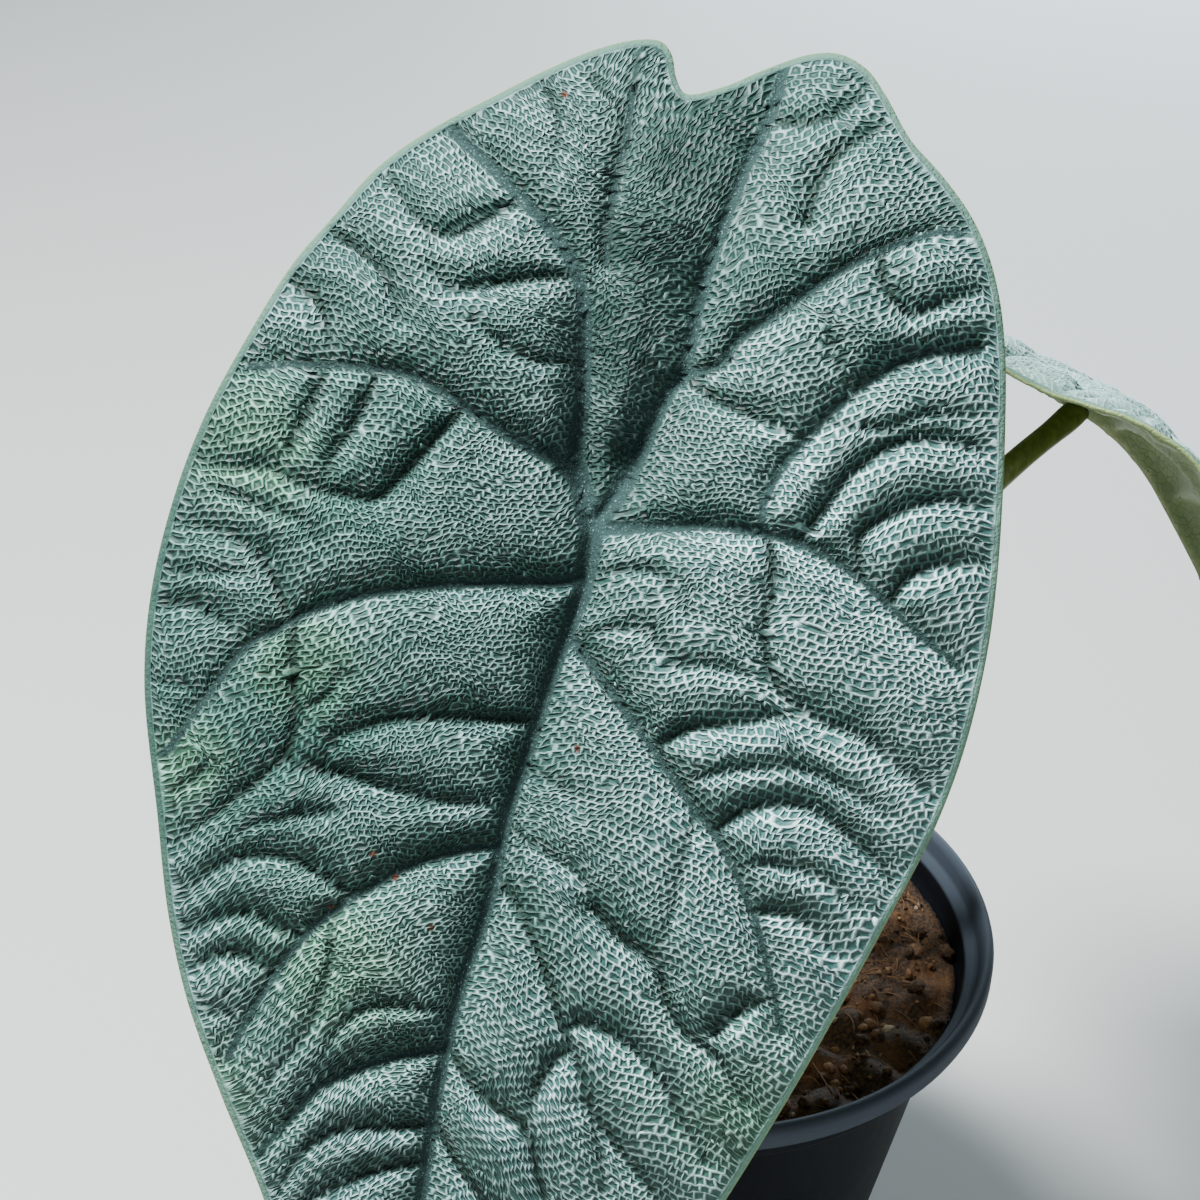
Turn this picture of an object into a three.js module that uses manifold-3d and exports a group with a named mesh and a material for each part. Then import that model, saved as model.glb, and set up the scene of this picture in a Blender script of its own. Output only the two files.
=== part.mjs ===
// A potted alocasia melo: two thick quilted leaves on arching petioles, a short crown, coir and a nursery pot.
// Millimetres, +Z up. The origin is the middle of the pot's base, and the viewer stands towards -Y.
import * as THREE from 'three';
import { mergeVertices } from 'three/addons/utils/BufferGeometryUtils.js';
import Module from 'manifold-3d';

const wasm = await Module();
wasm.setup();

// Pot
const potHeight = 100;
const rimRadius = 60;
const lipThickness = 2.7;
const collarRadius = 56.8;
const shoulderRadius = 51.3;
const footRadius = 36.5;
const wallThickness = 1.6;
const floorThickness = 2;
const drainRadius = 4;
const drainCircle = 24;
const drainCount = 6;
const potSides = 48;

// Coir and crown
const soilDepthBelowRim = 10.6;
const soilLump = 1.1;
const soilRings = [46, 38.5, 31, 24, 18];
const crownRadius = 12;
const crownDepth = 22;
const seatGap = 0.3;
const soilGap = 0.4;

// Petioles
const petioleFootRadius = 3.4;
const petioleTopRadius = 2.1;
const sheathFootRadius = 5;
const sheathTopRadius = 3.9;
const sheathShare = 0.2;
const sheathSteps = 5;
const petioleSides = 10;
const petioleSteps = 14;

// Leaves. Both are drawn at the front leaf's size, with the navel, where the petiole joins, at (0, 0).
const bladeThickness = 1.1;
const frontSpacing = 4.1;
const backScale = 0.8;
const backSpacing = 5.4;
const pitDepth = 0.45;
const bladeReach = 180;
const cutterHeight = 12;

const soilLevel = potHeight - soilDepthBelowRim;
const crownFoot = soilLevel - crownDepth;

const leafColour = 0x6f9186;
const leafBackColour = 0x6b8577;
const petioleColour = 0x6c7448;
const crownColour = 0x7a7350;
const potColour = 0x23272f;
const soilColour = 0x4a3021;

// Turns 1, 2, 3, 4 into [1, 2], [3, 4].
function path(...values) {
  const points = [];
  for (let i = 0; i < values.length; i += 2) {
    points.push([values[i], values[i + 1]]);
  }
  return points;
}

// The margin of the leaf, clockwise from the notch between its two fused lobes.
const margin = [
  ...path(14.7, 66.2, 20.5, 67.2, 27, 69.9, 33.8, 72.2, 38.5, 72.3, 42.7, 70, 45.5, 66.2, 49.5, 59.1),
  ...path(54.5, 53.4, 58.8, 47.4, 61.5, 41.5, 63.4, 33.8, 64.2, 24.8, 64.2, 15.6, 63.8, 4.2, 62.9, -9),
  ...path(61.3, -20.9, 57.7, -35.7, 52.7, -48.7, 45.3, -62.9, 38.2, -75.9, 31.1, -88.4, 21, -104.8),
  ...path(11, -119.5, -1, -133, -13, -143, -24, -149.5, -32.5, -152.5, -36.2, -148.5, -40.5, -139),
  ...path(-44.5, -126.5, -47.8, -114.5, -50.4, -104.8, -56.9, -88.9, -62.2, -74.2, -65.2, -60.6),
  ...path(-66.9, -45.1, -68.9, -25, -67.8, -10.5, -64.2, 4.2, -59.5, 16.5, -53.4, 27.9, -46, 39.8),
  ...path(-40, 46.8, -32.8, 54.8, -25.1, 60.3, -14.8, 65.8, -6, 70.2, 1.2, 73.1, 7.3, 74.5, 11, 74.2),
  ...path(12.6, 72.2, 13.3, 68.6),
];

// The spine: the midrib down to the tip, and a main vein up into each lobe.
const midrib = path(0.5, 0, -1.1, -10.4, -3.5, -17, -6.5, -25.4, -9.6, -35.5, -12.7, -45.1, -15.8, -59.5,
  -19.8, -71.3, -22.5, -82.4, -24.8, -96, -27, -110, -29, -122, -31, -135, -32.3, -147);
const leftLobeVein = path(0, 0, -2.3, 10, -1.3, 18, -0.8, 30, -2, 38, -6, 45, -10.5, 49.8, -16, 55.5, -21.5, 60.5);
const rightLobeVein = path(0.5, 0, 4, 4, 8.5, 12.5, 12, 20, 14.5, 22.5, 15.5, 28, 17.8, 37.5, 23.4, 53.2,
  26.5, 59.4, 28.9, 65.8, 30, 71);
const spine = [midrib, leftLobeVein, rightLobeVein];

// The lateral veins, which lie in the deepest grooves between the pillows.
const laterals = [
  path(-1.5, 5, -5, 9, -10, 11.5, -20, 18, -27, 22.3, -35, 23.8, -45, 24.3, -52.8, 24),
  path(-1, -8.5, -5, -9.3, -15, -9.5, -30, -10.6, -42, -13.3, -48, -16.5, -52.7, -18.9, -58.2, -25.7,
    -63.5, -33, -65.8, -36.5),
  path(-14, -50, -18.8, -50.6, -25.4, -52.2, -32.2, -55.5, -37.7, -58.9, -43.8, -63.6, -48.5, -69.8,
    -51.8, -75, -54.6, -80.2, -56.2, -83.2),
  path(-22.3, -81.5, -30, -82.7, -36.2, -84.8, -41.7, -87.3, -45.4, -91.3, -49.7, -95.9, -51.3, -98),
  path(14.5, 22.5, 19.9, 24.2, 23, 28, 31, 33.5, 38.5, 38.5, 46.5, 42.5, 54.5, 44.9, 57.5, 44.6),
  path(3, -1, 12, -0.8, 20, -0.8, 31.5, -3.2, 40.3, -7.8, 48.6, -15.5, 52.6, -18.9, 57.5, -22.8),
  path(-3, -17.8, 0.5, -22.6, 4.8, -28.5, 9.8, -35.2, 15.9, -44.2, 19.9, -49.1, 21.8, -53, 23.7, -57,
    25.8, -62.5, 28, -71.3, 29.5, -79),
  path(60, 26.7, 50.2, 25.3, 41.5, 20.5, 34.8, 14.1, 29.2, 7.6, 26.5, 1.5, 26.5, -1.5),
  path(2.5, 40, 2.8, 47, 5.5, 59, 7.5, 72.5),
];

// The next order of grooves: between a lateral and the margin, and across the pillows.
const branches = [
  path(-10.5, 49.8, -16, 47, -19.5, 45, -24, 44.5, -27, 47.5, -31, 53),
  path(-2.2, 38, -8, 37.7, -18, 36.3, -21, 35.8, -24.5, 39),
  path(-40, 45, -35, 41.5, -31.5, 38, -29.5, 31),
  path(-46, 37, -42, 34, -40.5, 29, -40.3, 25),
  path(-20.1, 17, -25, 11.5, -30, 6, -33, 3.5, -38, 4.3, -45, 6, -48, 8.2, -55, 8.3, -62, 10),
  path(-33.4, 22, -36, 15.8, -39.2, 11.3, -41.5, 5.5),
  path(-41.5, 22.5, -43.5, 17, -46, 12.5, -47.5, 9),
  path(-47.2, -14, -48.8, -8.7, -50.3, -5.9, -52.8, -3.5, -56.8, -1.6, -63, 0),
  path(-66.5, -12.5, -61, -12.8, -56, -15.5, -53.5, -18),
  path(-45.9, -15, -46, -22, -45.8, -30.5, -47, -36, -51.5, -40, -58.5, -45.4, -64.5, -50),
  path(-46.8, -36.4, -44, -37.7, -38, -39, -30, -41.4, -22.6, -43.2, -13, -43.6),
  path(-9, -30.8, -22.6, -30.3, -30, -30.5, -36.2, -32.2, -39.2, -33.4, -41.2, -37.4),
  path(-36.5, -58, -41, -54.8, -46.5, -52, -50, -51.4, -56, -52.5, -61.5, -56.3, -63.3, -58),
  path(-44.5, -64, -48.5, -62.4, -52.8, -60.4, -56.5, -60.7, -62.6, -63.3),
  path(-49, -70, -50.9, -68.2, -55.8, -66.5, -60.8, -68.5, -62.2, -69.8),
  path(-24.2, -93.2, -30, -93.5, -39.2, -94.1, -43.2, -96.2, -46, -99.6, -48.8, -104),
  path(-25.1, -98.9, -33, -100.2, -39.2, -102.7, -42.3, -104.2, -46.5, -108),
  path(-27, -112, -33, -113.5, -39, -117, -44, -123),
  path(-29.2, -124, -33.5, -126, -37.5, -129.5, -41, -134),
  path(29.2, 61.8, 32.9, 61.5, 39, 63.7, 43, 67),
  path(33.5, 46, 35.4, 52.6, 39.7, 57.9, 46, 61.4),
  path(44.9, 41.5, 45.5, 36.6, 49.5, 32.2, 54.8, 33.8, 61, 36),
  path(14.5, 22.5, 20, 18.7, 26.2, 15.9, 33, 13),
  path(32, -3, 35.4, 0.8, 39.7, 6.7, 46.2, 11.6, 52.6, 12.8, 61, 11),
  path(41.8, -8.7, 41.5, -2.8, 45.5, 0.7, 53.8, 3.2, 62, 2.4),
  path(46.5, -12.5, 48.3, -9.3, 52.6, -6.8, 60.8, -6.4),
  path(27.5, -1.8, 28.3, -9, 27, -18.5, 29.5, -26.3, 36, -30.8, 41.5, -32.8, 48.9, -38.6, 53.5, -42.6),
  path(19.3, -48, 23, -45.1, 29.2, -43.5, 34.8, -44.5, 39.1, -47.8, 45.5, -54, 47, -57),
  path(9.8, -35.2, 15, -32.2, 23, -31.1, 30, -29.8, 33.2, -30.3),
  path(25.2, -60.8, 27.7, -60.2, 33.5, -61.8, 38.5, -67),
  path(0.8, -60, 4.8, -64.2, 10.4, -68.5, 11.9, -74.4, 15.3, -79.6, 19.3, -82.4, 24, -90),
  path(19.3, -79, 21.5, -76.8, 24, -75.2, 28.3, -73.5),
  path(-3.8, -78.7, -2.2, -77.5, 3.3, -79, 8.2, -82.7, 11.9, -87.6, 14.4, -92.8, 18, -99),
  path(-14.8, -54, -11.8, -58.3, -9.6, -62.7, -6.5, -70.7, -3.8, -79.3, -1, -86.1, 0.8, -93.5, 2.1, -104),
  path(-0.4, -89.8, 3.5, -95.5, 8.3, -101.5, 13, -108),
  path(-3.2, -81.5, -5.5, -83.3, -8.8, -89, -9.9, -94),
  path(-22, -81, -19.8, -84.8, -15.5, -89.8, -9.9, -94, -8.1, -100.2, -6, -107, 0, -117, 5, -124),
  path(-24, -92.5, -20.4, -99, -16.7, -104.5, -10.5, -112, -5, -121, -2, -129),
  path(-27.5, -112, -21, -118, -15.5, -126, -12, -138),
];

// Faint creases, which only dent a pillow.
const creases = [
  path(-2.6, 24.8, -8.4, 24.8, -14.8, 28.2, -18, 31),
  path(0, 68.6, 4.2, 65.1, 7.3, 64.8),
  path(-7.8, 68.6, -5, 62.5, -5.3, 57.5, -7.5, 48.8),
  path(-66, -7.3, -58, -7.8, -51, -7.5),
  path(-56.8, 4.9, -51, 2.4, -44.8, 0.2, -41.7, -3.8),
  path(39.7, 21, 37.8, 26, 36.4, 31),
  path(36, 15.5, 46, 14.5, 52, 16.5, 60, 16),
  path(1.5, -7.5, 10.5, -8, 15, -14.5),
  path(-2.5, -17.3, 8.8, -16.8, 12.8, -22, 18.1, -22.3, 27, -24.5),
  path(13.8, -40.5, 21, -38.6, 32.3, -38.3, 40.9, -42.3, 46, -46),
  path(15.8, -45.5, 14.7, -50.9, 12.2, -62, 10.6, -68),
  path(22.5, -53, 31, -53.5, 36, -55.2, 41, -60),
  path(-45.6, -29.3, -41, -27.2, -39, -24.5),
  path(-59.8, -38.2, -61.5, -40.2, -65, -41.7),
  path(-40.5, -44.8, -46.6, -45.7, -52.8, -47.2, -57, -50.5),
  path(-39.9, -61, -40.8, -70.7, -44.2, -79.3, -48.8, -85.5, -51.5, -90.4),
  path(-21, -75.6, -35, -75.5, -39.8, -79.9, -42, -85),
  path(-54, -76.5, -57, -75.9, -60.8, -76),
  path(-10, -38, -6.5, -39.5, -2.5, -43),
  path(-12.8, -46.5, -7.8, -50.6, -1.6, -54.9, 1.2, -60),
  path(-61, -25.8, -64, -25, -67.8, -24.6),
];

const grooves = [
  ...spine.map((points) => ({ points, depth: 3.7, width: 3.2 })),
  ...laterals.map((points) => ({ points, depth: 3.3, width: 2.8 })),
  ...branches.map((points) => ({ points, depth: 2.3, width: 2.3 })),
  ...creases.map((points) => ({ points, depth: 1.1, width: 1.8 })),
];
const grooveFade = 0.4;
const grooveNorm = 6;

function smooth(points, closed, step) {
  const knots = points.map(([x, y]) => new THREE.Vector3(x, y, 0));
  const curve = new THREE.CatmullRomCurve3(knots, closed, 'centripetal');
  const count = Math.max(1, Math.round(curve.getLength() / step));
  const line = curve.getSpacedPoints(count).map((p) => [p.x, p.y]);
  return closed ? line.slice(0, -1) : line;
}

// How far a point is from a line, and how far along the line the nearest place is, from 0 to 1.
function nearest(line, x, y, closed = false) {
  let distance = Infinity;
  let along = 0;
  const last = closed ? line.length : line.length - 1;
  for (let i = 0; i < last; i += 1) {
    const [ax, ay] = line[i];
    const [bx, by] = line[(i + 1) % line.length];
    const ux = bx - ax;
    const uy = by - ay;
    const t = THREE.MathUtils.clamp(((x - ax) * ux + (y - ay) * uy) / (ux * ux + uy * uy), 0, 1);
    const d = Math.hypot(x - ax - t * ux, y - ay - t * uy);
    if (d < distance) {
      distance = d;
      along = (i + t) / last;
    }
  }
  return { distance, along };
}

function inside(line, x, y) {
  let odd = false;
  line.forEach(([ax, ay], i) => {
    const [bx, by] = line[(i + 1) % line.length];
    if ((ay > y) !== (by > y) && x < ax + ((y - ay) / (by - ay)) * (bx - ax)) {
      odd = !odd;
    }
  });
  return odd;
}

const fineMargin = smooth(margin, true, 2);
const fineSpine = spine.map((points) => smooth(points, false, 2));
const fineGrooves = grooves.map((groove) => ({ ...groove, line: smooth(groove.points, false, 2) }));

// The quilting: each groove is a sharp valley between round pillows, and the deepest one near a point counts.
function grooveDepth(x, y) {
  let sum = 0;
  for (const { line, depth, width } of fineGrooves) {
    const { distance, along } = nearest(line, x, y);
    const cut = depth * (1 - grooveFade * along * along) * Math.exp(-distance / width);
    sum += cut ** grooveNorm;
  }
  return sum ** (1 / grooveNorm);
}

function spineDistance(x, y) {
  return Math.min(...fineSpine.map((line) => nearest(line, x, y).distance));
}

function marginDistance(x, y) {
  return nearest(fineMargin, x, y, true).distance;
}

// The grooves grow shallow in the smooth band along the margin.
const marginFirmness = 0.25;
const smoothBand = 3;

function quilting(x, y) {
  const firmness = 1 - (1 - marginFirmness) * Math.exp(-marginDistance(x, y) / smoothBand);
  return -grooveDepth(x, y) * firmness;
}

// The front leaf faces the viewer: its halves swell beside the spine, and margins, lobes and tip bend back.
const front = {
  swell: 5,
  swellReach: 11,
  roll: 8,
  rollReach: 13,
  lobeDroop: 0.0055,
  lobeStart: 30,
  tipDroop: 0.0022,
  tipStart: -60,
  leftDroop: 0.0012,
  rightDroop: 0.0006,
  pocketDepth: 4,
  pocketCentre: [3, 10],
  pocketSpread: 40,
};

function frontForm(x, y) {
  const [px, py] = front.pocketCentre;
  const swell = front.swell * (1 - Math.exp(-spineDistance(x, y) / front.swellReach));
  const roll = front.roll * Math.exp(-marginDistance(x, y) / front.rollReach);
  const lobeDroop = front.lobeDroop * Math.max(0, y - front.lobeStart) ** 2;
  const tipDroop = front.tipDroop * Math.max(0, front.tipStart - y) ** 2;
  const sideDroop = (x < 0 ? front.leftDroop : front.rightDroop) * x * x;
  const pocket = front.pocketDepth * Math.exp(-((x - px) ** 2 + (y - py) ** 2) / front.pocketSpread);
  return swell - roll - lobeDroop - tipDroop - sideDroop - pocket;
}

// The margin is drawn as the viewer sees it, so what lies nearer to the viewer is drawn in a little.
const viewDistance = 340;
const viewCentre = [1.5, -12];

function straight(x, y, h) {
  const spread = 1 - h / viewDistance;
  const [cx, cy] = viewCentre;
  return new THREE.Vector3(cx + (x - cx) * spread, cy + (y - cy) * spread, h);
}

// The back leaf is nearly flat: its lobes fall away from the spine, and its tip half rises from the midrib.
const back = {
  swell: 3.4,
  swellReach: 9,
  roll: 2.1,
  rollReach: 9,
  lobeFold: -0.08,
  tipFold: 0.048,
  foldStart: 20,
  foldEnd: -24,
};

function backForm(x, y) {
  const fromSpine = spineDistance(x, y);
  const swell = back.swell * (1 - Math.exp(-fromSpine / back.swellReach));
  const roll = back.roll * Math.exp(-marginDistance(x, y) / back.rollReach);
  const towardsTip = THREE.MathUtils.smoothstep(-y, -back.foldStart, -back.foldEnd);
  const fold = THREE.MathUtils.lerp(back.lobeFold, back.tipFold, towardsTip);
  return swell - roll + fold * fromSpine;
}

// Its midrib bends down hard just past the navel, is nearly straight then, and droops again near the tip.
// The bends are in radians for each millimetre.
const bendStep = 2;
const tightBend = 0.0191;
const tightEnd = 28;
const gentleBend = 0.002;
const tipBend = 0.006;
const tipBendStart = 85;
const lobeBend = 0.003;

function bendAt(y, run) {
  if (y > 0) {
    return lobeBend;
  }
  if (run < tightEnd) {
    return tightBend;
  }
  return run < tipBendStart ? gentleBend : tipBend;
}

function bent(x, y, h) {
  let angle = 0;
  let run = 0;
  let along = 0;
  let drop = 0;
  while (run < Math.abs(y)) {
    const step = Math.min(bendStep, Math.abs(y) - run);
    angle += bendAt(y, run) * step;
    along += Math.cos(angle) * step;
    drop += Math.sin(angle) * step;
    run += step;
  }
  return new THREE.Vector3(x, Math.sign(y) * (along + h * Math.sin(angle)), h * Math.cos(angle) - drop);
}

const frontLeaf = {
  form: frontForm,
  place: straight,
  scale: 1,
  spacing: frontSpacing,
  navel: new THREE.Vector3(-22.2, -43.9, potHeight + 115),
  facing: new THREE.Vector3(0, -0.844, 0.536),
  towardsLobes: new THREE.Vector3(-0.032, 0.536, 0.844),
};

const backLeaf = {
  form: backForm,
  place: bent,
  scale: backScale,
  spacing: backSpacing,
  navel: new THREE.Vector3(71.3, 32.6, potHeight + 102),
  facing: new THREE.Vector3(0.462, 0.28, 0.842),
  towardsLobes: new THREE.Vector3(-0.868, 0.339, 0.363),
};

// Delaunay triangles of scattered points, all turning counter-clockwise.
function triangulate(points) {
  const far = 5000;
  const all = [...points, [-far, -far], [far, -far], [0, far]];
  const count = points.length;

  function corner(a, b, c) {
    const [ax, ay] = all[a];
    const [bx, by] = all[b];
    const [cx, cy] = all[c];
    const d = 2 * (ax * (by - cy) + bx * (cy - ay) + cx * (ay - by));
    const aa = ax * ax + ay * ay;
    const bb = bx * bx + by * by;
    const cc = cx * cx + cy * cy;
    const x = (aa * (by - cy) + bb * (cy - ay) + cc * (ay - by)) / d;
    const y = (aa * (cx - bx) + bb * (ax - cx) + cc * (bx - ax)) / d;
    return { a, b, c, x, y, reach: (ax - x) ** 2 + (ay - y) ** 2 };
  }

  let triangles = [corner(count, count + 1, count + 2)];
  points.forEach(([px, py], i) => {
    const edges = new Map();
    triangles = triangles.filter((t) => {
      if ((px - t.x) ** 2 + (py - t.y) ** 2 >= t.reach) {
        return true;
      }
      for (const [from, to] of [[t.a, t.b], [t.b, t.c], [t.c, t.a]]) {
        if (!edges.delete(`${to},${from}`)) {
          edges.set(`${from},${to}`, [from, to]);
        }
      }
      return false;
    });
    for (const [from, to] of edges.values()) {
      triangles.push(corner(from, to, i));
    }
  });
  return triangles.filter((t) => Math.max(t.a, t.b, t.c) < count);
}

// Points on the margin, along the grooves and on a triangular grid between them. One grid point in three is
// a pit, so that the other two draw the raised net, larger than life.
function bladePoints(spacing) {
  const rim = smooth(margin, true, spacing * 0.8);
  const points = rim.map(([x, y]) => ({ x, y, pit: false }));
  const clear = (x, y, room) => points.every((p) => Math.hypot(p.x - x, p.y - y) > room);
  for (const { points: knots } of grooves) {
    for (const [x, y] of smooth(knots, false, spacing)) {
      if (inside(rim, x, y) && clear(x, y, spacing * 0.6)) {
        points.push({ x, y, pit: false });
      }
    }
  }
  const rowHeight = (spacing * Math.sqrt(3)) / 2;
  const reach = Math.ceil(bladeReach / rowHeight);
  for (let row = -reach; row <= reach; row += 1) {
    for (let column = -reach; column <= reach; column += 1) {
      const x = (column + row / 2) * spacing;
      const y = row * rowHeight + 0.02 * Math.sin(7 * column);
      const pit = (((column - row) % 3) + 3) % 3 === 0;
      if (inside(rim, x, y) && marginDistance(x, y) > spacing * 0.6 && clear(x, y, spacing * 0.72)) {
        points.push({ x, y, pit });
      }
    }
  }
  return { rim, points };
}

function faceOutward(geometry) {
  const position = geometry.attributes.position;
  const index = geometry.index.array;
  const a = new THREE.Vector3();
  const b = new THREE.Vector3();
  const c = new THREE.Vector3();
  let volume = 0;
  for (let i = 0; i < index.length; i += 3) {
    a.fromBufferAttribute(position, index[i]);
    b.fromBufferAttribute(position, index[i + 1]);
    c.fromBufferAttribute(position, index[i + 2]);
    volume += a.dot(b.cross(c));
  }
  if (volume < 0) {
    for (let i = 0; i < index.length; i += 3) {
      [index[i + 1], index[i + 2]] = [index[i + 2], index[i + 1]];
    }
  }
  return geometry;
}

function closedGeometry(vertices, triangles) {
  const geometry = new THREE.BufferGeometry();
  geometry.setAttribute('position', new THREE.Float32BufferAttribute(vertices.flatMap((v) => v.toArray()), 3));
  geometry.setIndex(triangles.flat());
  return faceOutward(geometry);
}

const nets = new Map();

function bladeNet(spacing) {
  if (!nets.has(spacing)) {
    const { rim, points } = bladePoints(spacing);
    const triangles = triangulate(points.map(({ x, y }) => [x, y]))
      .filter(({ a, b, c }) => {
        const x = (points[a].x + points[b].x + points[c].x) / 3;
        const y = (points[a].y + points[b].y + points[c].y) / 3;
        return inside(rim, x, y);
      })
      .map(({ a, b, c }) => [a, b, c]);
    nets.set(spacing, { points, triangles });
  }
  return nets.get(spacing);
}

function placeBlade(leaf) {
  const n = leaf.facing.clone().normalize();
  const y = leaf.towardsLobes.clone().addScaledVector(n, -leaf.towardsLobes.dot(n)).normalize();
  const x = new THREE.Vector3().crossVectors(y, n);
  return new THREE.Matrix4().makeBasis(x, y, n).setPosition(leaf.navel);
}

// A blade is one net of triangles used twice, as its upper face and, a thickness lower, as its back.
function bladeGeometry(leaf, above, below) {
  const { points, triangles } = bladeNet(leaf.spacing);
  const matrix = placeBlade(leaf);
  const heights = points.map(({ x, y, pit }) => leaf.form(x, y) + quilting(x, y) - (pit ? pitDepth : 0));

  function layer(shift) {
    return points.map(({ x, y }, i) => {
      const v = leaf.place(x, y, heights[i] + shift / leaf.scale);
      return v.multiplyScalar(leaf.scale).applyMatrix4(matrix);
    });
  }

  const count = points.length;
  const once = new Map();
  for (const [a, b, c] of triangles) {
    for (const [from, to] of [[a, b], [b, c], [c, a]]) {
      if (!once.delete(`${to},${from}`)) {
        once.set(`${from},${to}`, [from, to]);
      }
    }
  }
  const faces = triangles.flatMap(([a, b, c]) => [[a, b, c], [count + a, count + c, count + b]]);
  for (const [from, to] of once.values()) {
    faces.push([count + from, count + to, to], [count + from, to, from]);
  }
  return closedGeometry([...layer(above), ...layer(-below)], faces);
}

// A tapering round stem: a cylinder bent along a stretch of a curve.
function stemGeometry(curve, from, to, startRadius, endRadius, steps) {
  const geometry = new THREE.CylinderGeometry(endRadius, startRadius, 1, petioleSides, steps);
  const position = geometry.attributes.position;
  const side = new THREE.Vector3();
  const up = new THREE.Vector3();
  for (let i = 0; i < position.count; i += 1) {
    const share = THREE.MathUtils.lerp(from, to, position.getY(i) + 0.5);
    const tangent = curve.getTangentAt(share);
    side.crossVectors(new THREE.Vector3(0, 1, 0), tangent).normalize();
    up.crossVectors(side, tangent);
    const point = curve.getPointAt(share);
    point.addScaledVector(side, position.getX(i)).addScaledVector(up, position.getZ(i));
    position.setXYZ(i, point.x, point.y, point.z);
  }
  return faceOutward(geometry);
}

function toSolid(geometry) {
  const bare = geometry.clone();
  bare.deleteAttribute('normal');
  bare.deleteAttribute('uv');
  const merged = mergeVertices(bare, 1e-4);
  const vertProperties = new Float32Array(merged.attributes.position.array);
  const triVerts = new Uint32Array(merged.index.array);
  return new wasm.Manifold(new wasm.Mesh({ numProp: 3, vertProperties, triVerts }));
}

function toGeometry(solid) {
  const { vertProperties, triVerts } = solid.getMesh();
  const geometry = new THREE.BufferGeometry();
  geometry.setAttribute('position', new THREE.BufferAttribute(new Float32Array(vertProperties), 3));
  geometry.setIndex(new THREE.BufferAttribute(new Uint32Array(triVerts), 1));
  return geometry;
}

// A closed profile of [radius, height] pairs, turned about the Z axis.
function turned(profile, sides) {
  const geometry = new THREE.LatheGeometry(profile.map(([r, z]) => new THREE.Vector2(r, z)), sides);
  geometry.rotateX(Math.PI / 2);
  geometry.deleteAttribute('normal');
  geometry.deleteAttribute('uv');
  return faceOutward(mergeVertices(geometry, 1e-4));
}

// The inside of the pot's wall from its floor up: straight, a cone, then a short upright band.
const innerWall = [
  [footRadius - wallThickness, floorThickness],
  [49.6, potHeight - 15.4],
  [53.9, potHeight - 10.4],
];

function potGeometry() {
  const h = potHeight;
  const lipInner = rimRadius - lipThickness;
  const ledge = lipInner - 2.3;
  const body = turned([
    [0, 0],
    [footRadius - 1.4, 0],
    [footRadius, 1.4],
    [shoulderRadius, h - 15.6],
    [collarRadius - 0.6, h - 10.2],
    [collarRadius, h - 5.4],
    [rimRadius - 0.8, h - 5.1],
    [rimRadius, h - 4.1],
    [rimRadius, h - 1.4],
    [rimRadius - 0.6, h - 0.4],
    [rimRadius - 1.5, h],
    [lipInner + 0.4, h - 0.4],
    [lipInner, h - 1.3],
    [lipInner - 0.1, h - 3.9],
    [lipInner - 0.4, h - 4.4],
    [ledge, h - 4.8],
    [ledge - 0.4, h - 5.4],
    ...innerWall.toReversed(),
    [0, floorThickness],
  ], potSides);
  let solid = toSolid(body);
  for (let i = 0; i < drainCount; i += 1) {
    const angle = ((i + 0.5) / drainCount) * 2 * Math.PI;
    const hole = new THREE.CylinderGeometry(drainRadius, drainRadius, 4 * floorThickness, 12);
    hole.rotateX(Math.PI / 2);
    hole.translate(drainCircle * Math.cos(angle), drainCircle * Math.sin(angle), 0);
    solid = solid.subtract(toSolid(hole));
  }
  return toGeometry(solid);
}

// Low bumps that repeat nowhere near, from about -2 to 2.
function bumps(x, y) {
  return Math.sin(0.61 * x + 1.7 * Math.sin(0.23 * y)) + Math.sin(0.53 * y + 2.1 * Math.sin(0.19 * x));
}

// Coir fills the pot, with a lumpy top and a plain hole that the crown stands in.
function soilGeometry() {
  const [foot, shoulder, band] = innerWall.map(([r, z]) => [r - soilGap, z]);
  const climb = (soilLevel - shoulder[1]) / (band[1] - shoulder[1]);
  const edge = THREE.MathUtils.lerp(shoulder[0], band[0], climb);
  const holeRadius = crownRadius + seatGap;
  const geometry = turned([
    [0, floorThickness + seatGap],
    [foot[0], floorThickness + seatGap],
    shoulder,
    ...[edge, ...soilRings, holeRadius].map((r) => [r, soilLevel]),
    [holeRadius, crownFoot - seatGap],
    [0, crownFoot - seatGap],
  ], potSides);
  const position = geometry.attributes.position;
  for (let i = 0; i < position.count; i += 1) {
    const [x, y, z] = [position.getX(i), position.getY(i), position.getZ(i)];
    const onRing = Math.hypot(x, y) < edge - 1 && Math.hypot(x, y) > holeRadius + 1;
    if (onRing && z > soilLevel - 1) {
      position.setZ(i, z + soilLump * bumps(x, y));
    }
  }
  return geometry;
}

// A petiole's middle line ends in its leaf's navel.
function petioleCurve(knots, leaf) {
  const points = [...knots.map((p) => new THREE.Vector3(...p)), leaf.navel];
  return new THREE.CatmullRomCurve3(points, false, 'centripetal');
}

const frontPetiole = petioleCurve([
  [-3.4, -1.6, crownFoot + 8],
  [-8, -4.5, potHeight + 28],
  [-15, -15, potHeight + 70],
  [-20, -31, potHeight + 99],
], frontLeaf);

const backPetiole = petioleCurve([
  [3.8, 1.4, crownFoot + 8],
  [12, 5, potHeight + 30],
  [29, 10, potHeight + 66],
  [54, 18.5, potHeight + 92.6],
  [65.2, 26.6, potHeight + 98.9],
], backLeaf);

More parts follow.
